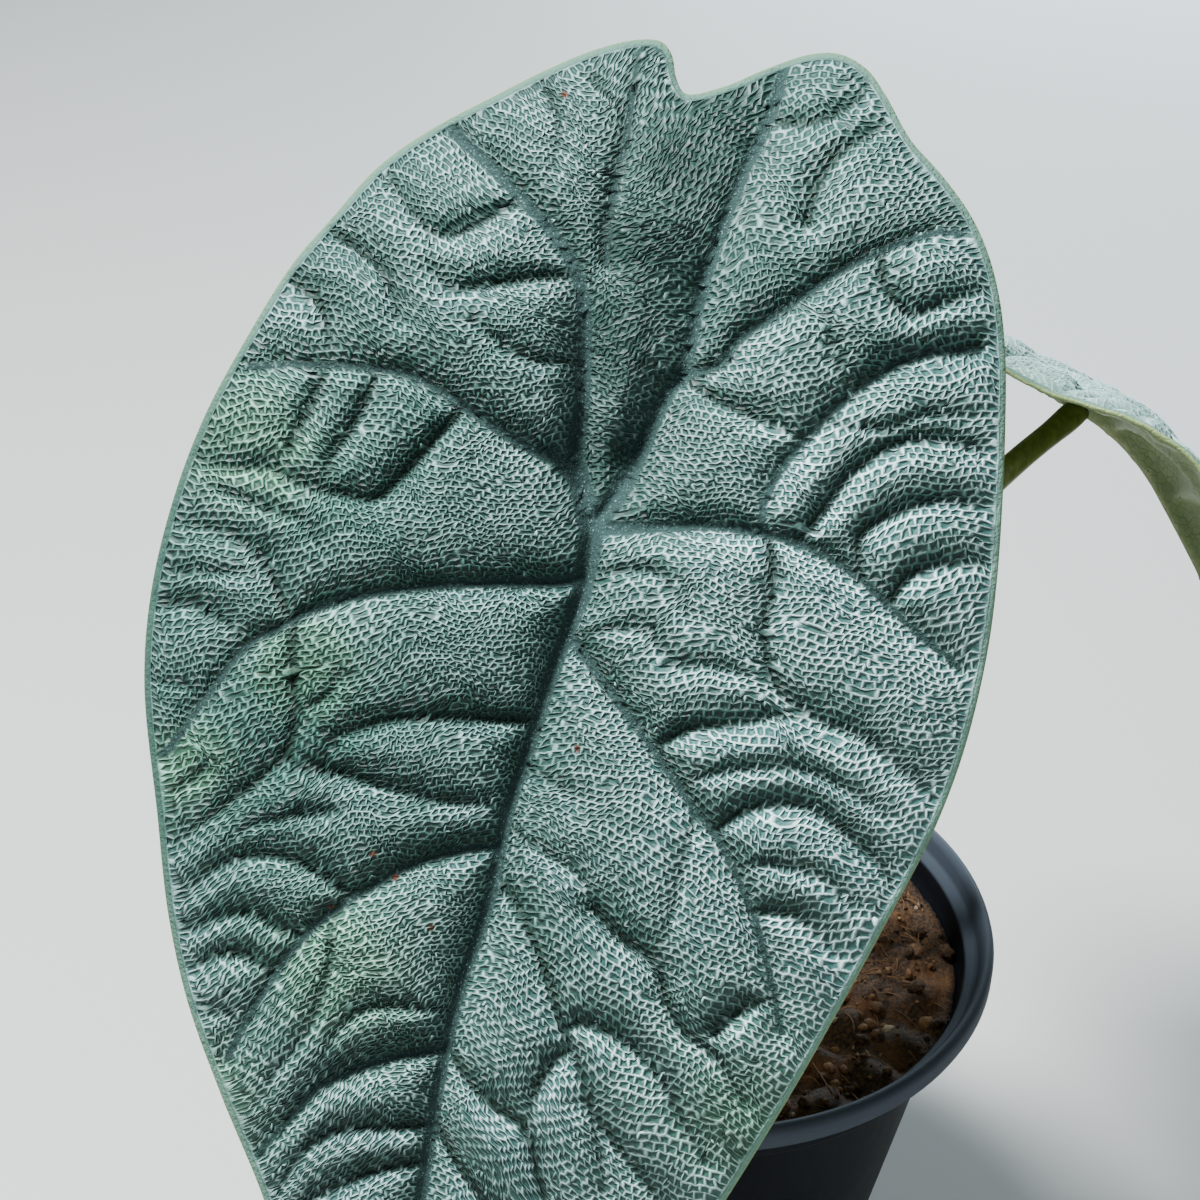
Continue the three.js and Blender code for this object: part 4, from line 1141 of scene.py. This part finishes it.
# %% [markdown]
# ## The petiole's skin
# A petiole is smooth, fleshy and olive green, with fine darker streaks along it and a pale foot. Noise that
# is stretched upwards draws the streaks, and the share of the way up, carried by each ring, fades in the
# pale foot.

# %% The petiole finish
def petiole_finish():
    stem = Finish("petiole")
    streaks = stem.noise(1.1, detail=3, scale=(1, 1, 0.12))
    mottle = stem.noise(7, detail=2)
    colour = stem.mix(stem.step(streaks, 0.35, 0.65), (0.070, 0.100, 0.010), (0.115, 0.150, 0.020))
    colour = stem.mix(stem.step(mottle, 0.5, 0.75) * 0.25, colour, (0.080, 0.075, 0.020))
    colour = stem.mix(1 - stem.step(stem.reading("run"), 0.2, 0.5), colour, (0.17, 0.16, 0.06))
    return stem.paint(Base_Color=colour, Roughness=0.36 + 0.14 * streaks, Normal=stem.bump(streaks, 0.12))


PETIOLE_FINISH = petiole_finish()

# %% [markdown]
# ## Both petioles
# Each is thickest at its sheath, tapers upwards, has a shallow channel in front near its foot and swells a
# little at the knee under its blade. A radius for each ring and turn holds all that, so nothing has to be
# sculpted.

# %% Make both petioles
STEM_FOOT_RADIUS = 3.4
STEM_TOP_RADIUS = 2.1
STEM_RINGS = 90
KNEE_SWELL, KNEE_PLACE, KNEE_WIDTH = 0.35, 0.95, 0.03
CHANNEL_DEPTH, CHANNEL_END, CHANNEL_WIDTH = 0.5, 0.6, 0.35


def finish_mesh(name, bm):
    """Millimetres in mesh code become metres in the object."""
    bmesh.ops.scale(bm, vec=(MM, MM, MM), verts=bm.verts)
    mesh = bpy.data.meshes.new(name)
    bm.to_mesh(mesh)
    bm.free()
    print(name, "has", sum(len(p.vertices) - 2 for p in mesh.polygons), "triangles")
    return mesh


def petiole_radius(share, turns):
    """It tapers, swells a little at the knee under the blade, and has a shallow channel at its foot."""
    taper = (STEM_TOP_RADIUS - STEM_FOOT_RADIUS) * (share - SHEATH_SHARE) / (1 - SHEATH_SHARE)
    knee = KNEE_SWELL * math.exp(-(((share - KNEE_PLACE) / KNEE_WIDTH) ** 2))
    channel = CHANNEL_DEPTH * max(0, 1 - share / CHANNEL_END)
    channel = channel * np.exp(-((np.abs(turns - math.pi / 2)) / CHANNEL_WIDTH) ** 2)
    return STEM_FOOT_RADIUS + taper + knee - channel


def make_petiole(name, stem, leaf, node):
    """It runs from inside its sheath into the thickness of its blade, behind the groove at the navel."""
    depth = (stem.line - leaf.navel) @ leaf.normal
    inside_blade = (leaf.form(NAVEL_MAP) + NAVEL_MAP.quilting)[0] * leaf.scale - 0.8 * THICKNESS
    end = np.interp(inside_blade, depth[-12:], np.arange(len(depth))[-12:])
    shares = np.linspace(SHEATH_SHARE - 0.04, end / (len(depth) - 1), STEM_RINGS)
    mesh = finish_mesh(name, push_stem(stem, shares, petiole_radius))
    return add_piece(name, mesh, [PETIOLE_FINISH], [node])


make_petiole("front_petiole", front_stem, front_leaf, "petiole_front")
make_petiole("back_petiole", back_stem, back_leaf, "petiole_back")

# %% [markdown]
# ## The crown
# The corm sits half in the coir. Old leaf bases have left rings on it, and each petiole comes out of a
# sheath whose thin edges overlap and dry to brown paper. Anything round about an axis, such as the corm or
# the pot, is spun from half its profile. A sheath isn't round: it is a grid that is thickened while it is
# still flat, then wrapped round the stem, so that its two faces stay the same distance apart.

# %% Turn a profile
def turn_profile(profile, steps):
    """A closed mesh from a profile of radius and height that starts and ends on the axis."""
    bm = bmesh.new()
    verts = [bm.verts.new((radius, 0, height)) for radius, height in profile]
    edges = [bm.edges.new(pair) for pair in zip(verts, verts[1:])]
    bmesh.ops.spin(
        bm, geom=[*verts, *edges], cent=(0, 0, 0), axis=(0, 0, 1), angle=math.tau, steps=steps, use_merge=True
    )
    bmesh.ops.remove_doubles(bm, verts=bm.verts, dist=0.001)
    bmesh.ops.recalc_face_normals(bm, faces=bm.faces)
    return bm


print("round pieces are turned about the pot's axis")

# %% [markdown]
# ## The crown's skin
# Old sheaths dry to pale brown fibres over an olive skin. Stretched noise makes the fibres, in colour and
# in relief, and larger spots let the green through.

# %% The crown finish
def crown_finish():
    crown = Finish("crown")
    fibres = crown.noise(0.8, detail=4, scale=(1, 1, 0.15))
    patches = crown.noise(5, detail=3)
    colour = crown.mix(crown.step(fibres, 0.35, 0.65), (0.10, 0.065, 0.03), (0.30, 0.24, 0.11))
    colour = crown.mix(crown.step(patches, 0.45, 0.7) * 0.7, colour, (0.14, 0.16, 0.05))
    return crown.paint(Base_Color=colour, Roughness=0.55 + 0.25 * fibres, Normal=crown.bump(fibres, 0.3))


CROWN_FINISH = crown_finish()

# %% [markdown]
# ## The corm and its sheaths
# The corm is a turned profile with a step for each old leaf base, made slightly uneven by noise. The
# sheaths are left open at the top, where the real ones gape, and their edges cross low down, where the real
# ones clasp the stem.

# %% The corm and its sheaths
CORM = [
    (0, CROWN_FOOT), (6, CROWN_FOOT), (10, CROWN_FOOT + 2.6), (12, CROWN_FOOT + 6), (12, SOIL_LEVEL - 1),
    (11.6, SOIL_LEVEL + 0.6), (10.9, SOIL_LEVEL + 1), (10.7, SOIL_LEVEL + 2.2), (9.9, SOIL_LEVEL + 2.6),
    (9.4, SOIL_LEVEL + 3.8), (8.6, SOIL_LEVEL + 4.2), (8, SOIL_LEVEL + 5.2), (6.9, SOIL_LEVEL + 5.8),
    (4.4, SOIL_LEVEL + 7.2), (0, SOIL_LEVEL + 8),
]
SHEATH_GRID = (36, 30)
SHEATH_THICKNESS = 0.5


def make_corm():
    bm = turn_profile(CORM, 64)
    for vert in bm.verts:
        wobble = noise.noise(vert.co * 0.21)
        vert.co += Vector((vert.co.x, vert.co.y, 0)) * 0.035 * wobble
    bmesh.ops.smooth_vert(bm, verts=bm.verts, factor=0.2, use_axis_x=True, use_axis_y=True, use_axis_z=True)
    return add_piece("corm", finish_mesh("corm", bm), [CROWN_FINISH], ["crown"])


def make_sheath(name, stem, opening, top):
    """A slab wrapped round the foot of a petiole. Its edges overlap low down and gape towards the top."""
    bm = bmesh.new()
    bmesh.ops.create_grid(bm, x_segments=SHEATH_GRID[0], y_segments=SHEATH_GRID[1], size=1.0)
    grown = bmesh.ops.extrude_face_region(bm, geom=bm.faces[:])["geom"]
    for vert in (g for g in grown if isinstance(g, bmesh.types.BMVert)):
        vert.co.z = 1.0
    across, up, outer = np.array([v.co for v in bm.verts]).T
    rise = (up + 1) / 2
    gape = 0.1 + 1.5 * rise**3
    turn = opening + across * (math.pi + 0.5 - gape)
    edge = np.abs(across) ** 6
    lip = 1 - 0.3 * rise**4 * (1 - np.cos(across * math.pi / 2))
    radius = 4.6 - 0.9 * rise + 0.3 * across + 0.9 * edge * rise + 0.25 * np.sin(9 * up) * edge
    places = stem.at(0.02 + (top - 0.02) * rise * lip, turn, radius + SHEATH_THICKNESS * outer)
    for vert, place in zip(bm.verts, places):
        vert.co = place
    bmesh.ops.recalc_face_normals(bm, faces=bm.faces)
    return add_piece(name, finish_mesh(name, bm), [CROWN_FINISH])


make_corm()
make_sheath("front_sheath", front_stem, opening=0.4, top=0.235)
make_sheath("back_sheath", back_stem, opening=2.6, top=0.23)

# %% [markdown]
# ## The pot
# An injection-moulded pot is one turned profile: a rolled lip, a groove and a ledge inside it, a collar, a
# cone and a tapered wall. The plastic is nearly black and satin, with a fine grain and a few rubbed spots,
# and its lip is painted bluer and paler than the wall, as a painted sheen. Two kinds of noise and the
# height above the floor give all that, so the finish needs no image and no second material.

# %% The pot finish
def pot_finish():
    pot = Finish("pot_plastic")
    haze = pot.noise(14, detail=3)
    grain = pot.noise(0.5, detail=2)
    scuffs = pot.noise(2.4, detail=4, scale=(1, 1, 0.3))
    colour = pot.mix(haze, (0.003, 0.0035, 0.005), (0.006, 0.007, 0.010))
    colour = pot.mix(pot.step(scuffs, 0.66, 0.8) * 0.2, colour, (0.03, 0.03, 0.034))
    height = pot.node("ShaderNodeSeparateXYZ", {}, {"Vector": pot.place()}, output="Z")
    # Painted sheen: the lip is painted bluer and paler than the wall, as a painted reflection of the sky.
    lip = pot.step(height, POT_HEIGHT - 5.6, POT_HEIGHT - 4.6)
    colour = pot.mix(lip * 0.85, colour, (0.050, 0.063, 0.082))
    return pot.paint(
        Base_Color=colour,
        Roughness=0.42 + 0.12 * haze + 0.06 * scuffs,
        Normal=pot.bump(grain, 0.035),
        Specular_IOR_Level=0.08,
    )


# %% [markdown]
# ## The pot's body
# A mould for a pot is turned, and so is this one: the profile is spun round the axis. Points of the profile
# itself round its corners, so no bevel is needed. The drain holes are cut last, with a boolean, and the
# result is kept as a plain mesh.

# %% Turn the pot
WALL_THICKNESS = 1.6
FOOT_RADIUS = 36.5
FLOOR = 2
INNER_WALL = [(FOOT_RADIUS - WALL_THICKNESS, FLOOR), (49.6, POT_HEIGHT - 15.4), (53.9, POT_HEIGHT - 10.4)]
POT_PROFILE = [
    (0, 0.8), (30, 0.8), (31.5, 0), (35.1, 0), (36.1, 0.4), (36.5, 1.4), (51.3, POT_HEIGHT - 15.6),
    (56.2, POT_HEIGHT - 10.2), (56.8, POT_HEIGHT - 9.2), (56.8, POT_HEIGHT - 5.4), (57.1, POT_HEIGHT - 5.15),
    (59.2, POT_HEIGHT - 5.1), (59.75, POT_HEIGHT - 4.7), (60, POT_HEIGHT - 4.1), (60, POT_HEIGHT - 1.5),
    (59.75, POT_HEIGHT - 0.7), (59.2, POT_HEIGHT - 0.15), (58.5, POT_HEIGHT), (57.8, POT_HEIGHT - 0.3),
    (57.3, POT_HEIGHT - 1.2), (57.2, POT_HEIGHT - 3.7), (56.9, POT_HEIGHT - 4.35), (56.2, POT_HEIGHT - 4.65),
    (55.1, POT_HEIGHT - 4.8), (54.75, POT_HEIGHT - 5.0), (54.6, POT_HEIGHT - 5.5), (54.3, POT_HEIGHT - 8.0),
    *reversed(INNER_WALL), (0, FLOOR),
]
POT_STEPS = 144
DRAIN_COUNT = 6
DRAIN_RADIUS = 4
DRAIN_CIRCLE = 24
DRILL_TURN = 0.04


def make_pot():
    pot = add_piece("pot_body", finish_mesh("pot_body", turn_profile(POT_PROFILE, POT_STEPS)), [pot_finish()],
                    ["pot"])
    drills = bmesh.new()
    for i in range(DRAIN_COUNT):
        angle = (i + 0.5) / DRAIN_COUNT * math.tau
        place = Matrix.Translation((DRAIN_CIRCLE * math.cos(angle), DRAIN_CIRCLE * math.sin(angle), 0))
        place = place @ Matrix.Rotation(DRILL_TURN, 4, "Z")
        bmesh.ops.create_cone(drills, cap_ends=True, segments=32, radius1=DRAIN_RADIUS, radius2=DRAIN_RADIUS,
                              depth=10, matrix=place)
    drill = bpy.data.objects.new("drill", finish_mesh("drill", drills))
    bpy.context.scene.collection.objects.link(drill)
    cut = pot.modifiers.new("drain_holes", "BOOLEAN")
    cut.object = drill
    cut.solver = "EXACT"
    drilled = bpy.data.meshes.new_from_object(pot.evaluated_get(bpy.context.evaluated_depsgraph_get()))
    pot.modifiers.clear()
    pot.data = drilled
    bpy.data.objects.remove(drill)
    return pot


make_pot()

# %% [markdown]
# ## Coir
# Coir is crumbs, dust and short hairs. A fine disc, pushed up and down by several sizes of noise, is the
# dusty bed. Crumbs are scattered on it as squashed, knocked-about balls, all in one mesh, and hairs are
# thin bent prisms. A few pale grains lighten it. Everything random comes from one seeded generator, so each
# run lays them alike.

# %% The coir finish
def coir_finish():
    coir = Finish("coir")
    large = coir.noise(9, detail=3)
    small = coir.noise(0.7, detail=4)
    fibre = coir.noise(0.5, detail=3, scale=(1, 0.2, 1))
    shade = coir.reading("shade")
    colour = coir.mix(coir.step(small, 0.35, 0.7), (0.014, 0.007, 0.003), (0.10, 0.046, 0.016))
    colour = coir.mix(coir.step(large, 0.45, 0.7) * 0.5, colour, (0.18, 0.072, 0.02))
    colour = coir.mix(coir.step(shade, 0.5, 0.95) * 0.7, colour, (0.27, 0.135, 0.058))
    colour = coir.mix(coir.step(coir.reading("pale"), 0.4, 0.6) * 0.85, colour, (0.34, 0.26, 0.17))
    relief = coir.bump(fibre, 0.25)
    relief = coir.bump(small, 0.3, below=relief)
    return coir.paint(Base_Color=colour, Roughness=0.75 + 0.2 * small, Normal=relief)


COIR_FINISH = coir_finish()

# %% [markdown]
# ## The bed
# The bed has to meet the pot's wall and leave a hole for the crown. A square grid is cut to that ring, its
# rims are made round, and walls are extruded down from them, so that it is closed as a real root ball is.

# %% The bed of coir
SOIL_GAP = 0.4
SOIL_LUMP = 1.1
HOLE_RADIUS = 12.3
BED_SIZE = 56
BED_CELL = 0.9
RIM_FADE = 3


def bed_height(x, y):
    """Lumps some centimetres apart, clods and grains, from the soil's mean level."""
    lumps = math.sin(0.61 * x + 1.7 * math.sin(0.23 * y)) + math.sin(0.53 * y + 2.1 * math.sin(0.19 * x))
    clods = noise.fractal(Vector((x / 5, y / 5, 0.5)), 0.8, 2.2, 4)
    grains = noise.noise(Vector((x / 0.9, y / 0.9, 7)))
    return 0.8 * SOIL_LUMP * lumps + 1.0 * clods + 0.5 * grains


def loops_of(bm):
    """Each boundary of a sheet as a list of edges."""
    bm.edges.index_update()
    left = {e for e in bm.edges if e.is_boundary}
    loops = []
    while left:
        search = [left.pop()]
        loop = set(search)
        while search:
            edge = search.pop()
            for vert in edge.verts:
                for other in vert.link_edges:
                    if other in left:
                        left.discard(other)
                        loop.add(other)
                        search.append(other)
        loops.append(sorted(loop, key=lambda e: e.index))
    return sorted(loops, key=lambda edges: edges[0].index)


def make_bed():
    foot, shoulder, band = [(radius - SOIL_GAP, height) for radius, height in INNER_WALL]
    climb = (SOIL_LEVEL - shoulder[1]) / (band[1] - shoulder[1])
    edge_radius = shoulder[0] + climb * (band[0] - shoulder[0])
    bm = bmesh.new()
    count = round(2 * BED_SIZE / BED_CELL)
    bmesh.ops.create_grid(bm, x_segments=count, y_segments=count, size=BED_SIZE)
    outside = [
        f for f in bm.faces
        if not HOLE_RADIUS + 0.5 < f.calc_center_median().length < edge_radius - 0.5
    ]
    bmesh.ops.delete(bm, geom=outside, context="FACES")
    for vert in bm.verts:
        fade = min(1, (edge_radius - vert.co.length) / RIM_FADE)
        vert.co.z = SOIL_LEVEL + max(0.15, fade) * bed_height(vert.co.x, vert.co.y)
    walls = {
        "outer": [(edge_radius, None), shoulder, foot],
        "inner": [(HOLE_RADIUS, None), (HOLE_RADIUS, CROWN_FOOT - 0.3)],
    }
    for loop in loops_of(bm):
        wide = loop[0].verts[0].co.xy.length > BED_SIZE / 2
        rim = {v for e in loop for v in e.verts}
        steps = walls["outer" if wide else "inner"]
        for vert in rim:
            vert.co.xy = vert.co.xy.normalized() * steps[0][0]
        edges = loop
        for radius, height in steps[1:]:
            grown = bmesh.ops.extrude_edge_only(bm, edges=edges)["geom"]
            edges = [g for g in grown if isinstance(g, bmesh.types.BMEdge)]
            fresh = {g for g in grown if isinstance(g, bmesh.types.BMVert)}
            edges = [e for e in edges if set(e.verts) <= fresh]
            for vert in fresh:
                vert.co.xy = vert.co.xy.normalized() * radius
                vert.co.z = height
        bmesh.ops.contextual_create(bm, geom=edges)
    bmesh.ops.triangulate(bm, faces=[f for f in bm.faces if len(f.verts) > 4])
    bmesh.ops.recalc_face_normals(bm, faces=bm.faces)
    return bm


print("the bed stands", round(bed_height(0, 30), 1), "mm above its mean level 30 mm behind the axis")

# %% [markdown]
# ## Crumbs, hairs and pale grains
# These lie loose on the bed. Each crumb is a knocked-about ball of a few faces in one shared mesh, and each
# hair is a small triangle pushed along a bent path, which costs far less than a curve with a round section.

# %% Crumbs, hairs and pale grains
CRUMBS = 1300
HAIRS = 420
PALE_GRAINS = 45
CRUMB_RING = (13.2, 52)
CRUMB_STRETCH = (0.5, 1.5)
SMALLEST_CRUMB, CRUMB_RANGE = 0.35, 1.25
CRUMB_DENTS, DENT_SCALE = 0.42, 1.3
HAIR_RING = (14, 50)
HAIR_LENGTH = (3, 9)
HAIR_RADIUS = (0.1, 0.2)
HAIR_SHADE = 0.85
HAIR_STEPS = 6
BATCH = 20
# Without a seed, Blender takes the directions of noise vectors from the clock.
noise.seed_set(5)


def radius_in(random, ring):
    """A random radius that spreads things evenly over a ring."""
    return math.sqrt(random.uniform(ring[0] ** 2, ring[1] ** 2))


def add_crumb(bm, random, pale):
    radius = radius_in(random, CRUMB_RING)
    angle = random.uniform(0, math.tau)
    x, y = radius * math.cos(angle), radius * math.sin(angle)
    size = SMALLEST_CRUMB + CRUMB_RANGE * random.random() ** 3
    stretch = Matrix.Diagonal((*random.uniform(*CRUMB_STRETCH, 3), 1))
    turn = Matrix.Rotation(random.uniform(0, math.tau), 4, Vector(random.normal(size=3)))
    place = Matrix.Translation((x, y, SOIL_LEVEL + bed_height(x, y) + 0.25 * size))
    made = bmesh.ops.create_icosphere(bm, subdivisions=1, radius=size, matrix=place @ turn @ stretch)["verts"]
    shade = random.random()
    for vert in made:
        vert.co += CRUMB_DENTS * size * noise.noise_vector(vert.co * DENT_SCALE / size)
        vert[bm.verts.layers.float["shade"]] = shade
        vert[bm.verts.layers.float["pale"]] = pale


def add_hair(bm, random):
    radius = radius_in(random, HAIR_RING)
    angle = random.uniform(0, math.tau)
    heading = random.uniform(0, math.tau)
    bend = random.uniform(-0.25, 0.25)
    length = random.uniform(*HAIR_LENGTH)
    lift = random.uniform(0.4, 1.2)
    x, y = radius * math.cos(angle), radius * math.sin(angle)
    place = Matrix.Translation((x, y, SOIL_LEVEL + bed_height(x, y) + 0.2))
    place = place @ Matrix.Rotation(heading, 4, "Z") @ Matrix.Rotation(math.pi / 2, 4, "Y")
    thin = random.uniform(*HAIR_RADIUS)
    ring = bmesh.ops.create_circle(bm, cap_ends=True, segments=3, radius=thin, matrix=place)["verts"]
    for vert in ring:
        vert[bm.verts.layers.float["shade"]] = HAIR_SHADE
    cap = ring[0].link_faces[0]
    for step in range(HAIR_STEPS):
        grown = bmesh.ops.extrude_face_region(bm, geom=[cap, *cap.edges])["geom"]
        cap = next(g for g in grown if isinstance(g, bmesh.types.BMFace))
        heading += bend
        rise = lift * math.cos(math.pi * (step + 0.5) / HAIR_STEPS) * 0.6
        ahead = (math.cos(heading) * length / HAIR_STEPS, math.sin(heading) * length / HAIR_STEPS, rise)
        bmesh.ops.translate(bm, verts=cap.verts[:], vec=ahead)


def scattered(count, add, *facts):
    """Many small things in one mesh, made a few at a time, because an operator walks over all it is given."""
    whole = bmesh.new()
    for start in range(0, count, BATCH):
        batch = bmesh.new()
        for name in ("shade", "pale"):
            batch.verts.layers.float.new(name)
        for _ in range(min(BATCH, count - start)):
            add(batch, *facts)
        bmesh.ops.recalc_face_normals(batch, faces=batch.faces)
        mesh = bpy.data.meshes.new("batch")
        batch.to_mesh(mesh)
        batch.free()
        whole.from_mesh(mesh)
        bpy.data.meshes.remove(mesh)
    return whole


def make_coir():
    random = np.random.default_rng(5)
    add_piece("coir_fill", finish_mesh("coir_fill", make_bed()), [COIR_FINISH], ["soil"])
    crumbs = scattered(CRUMBS, add_crumb, random, 0.0)
    add_piece("coir_crumbs", finish_mesh("coir_crumbs", crumbs), [COIR_FINISH])
    grains = scattered(PALE_GRAINS, add_crumb, random, 1.0)
    add_piece("pale_grains", finish_mesh("pale_grains", grains), [COIR_FINISH])
    hairs = scattered(HAIRS, add_hair, random)
    add_piece("coir_hairs", finish_mesh("coir_hairs", hairs), [COIR_FINISH])


make_coir()

# %% [markdown]
# ## Floor and light
# The studio is plain: a pale floor and a dim soft sky all round. The main light is a small panel high on
# the left, so that each pillow has a bright slope and the groove beside it is dark. A weak one fills from
# the front right, and a large cool one behind gives the leaves their blue sheen.

# %% Build the studio
def plain_floor():
    bm = bmesh.new()
    bmesh.ops.create_grid(bm, x_segments=1, y_segments=1, size=2.0)
    mesh = bpy.data.meshes.new("floor")
    bm.to_mesh(mesh)
    bm.free()
    finish = Finish("floor")
    mesh.materials.append(finish.paint(Base_Color=(0.46, 0.47, 0.45), Roughness=0.7))
    floor = bpy.data.objects.new("floor", mesh)
    bpy.context.scene.collection.objects.link(floor)


def area_light(name, place, aim, size, power, colour):
    data = bpy.data.lights.new(name, "AREA")
    data.size = size
    data.energy = power
    data.color = colour
    light = bpy.data.objects.new(name, data)
    light.location = place
    light.visible_camera = False
    light.rotation_euler = (Vector(aim) - Vector(place)).to_track_quat("-Z", "Y").to_euler()
    bpy.context.scene.collection.objects.link(light)


plain_floor()
area_light("key", (-0.38, -0.05, 1.12), (0, -0.05, 0.2), 0.34, 50, (0.95, 0.985, 1.0))
area_light("fill", (0.5, -0.9, 0.7), (0, 0, 0.2), 0.9, 2.6, (0.95, 0.98, 1.0))
area_light("back_panel", (0.35, 1.2, 0.4), (0, 0, 0.15), 0.8, 18, (0.74, 0.89, 1.0))
world = bpy.data.worlds.new("sky")
world.use_nodes = True
world.node_tree.nodes["Background"].inputs["Color"].default_value = (0.80, 0.86, 0.9, 1.0)
world.node_tree.nodes["Background"].inputs["Strength"].default_value = 0.15
bpy.context.scene.world = world
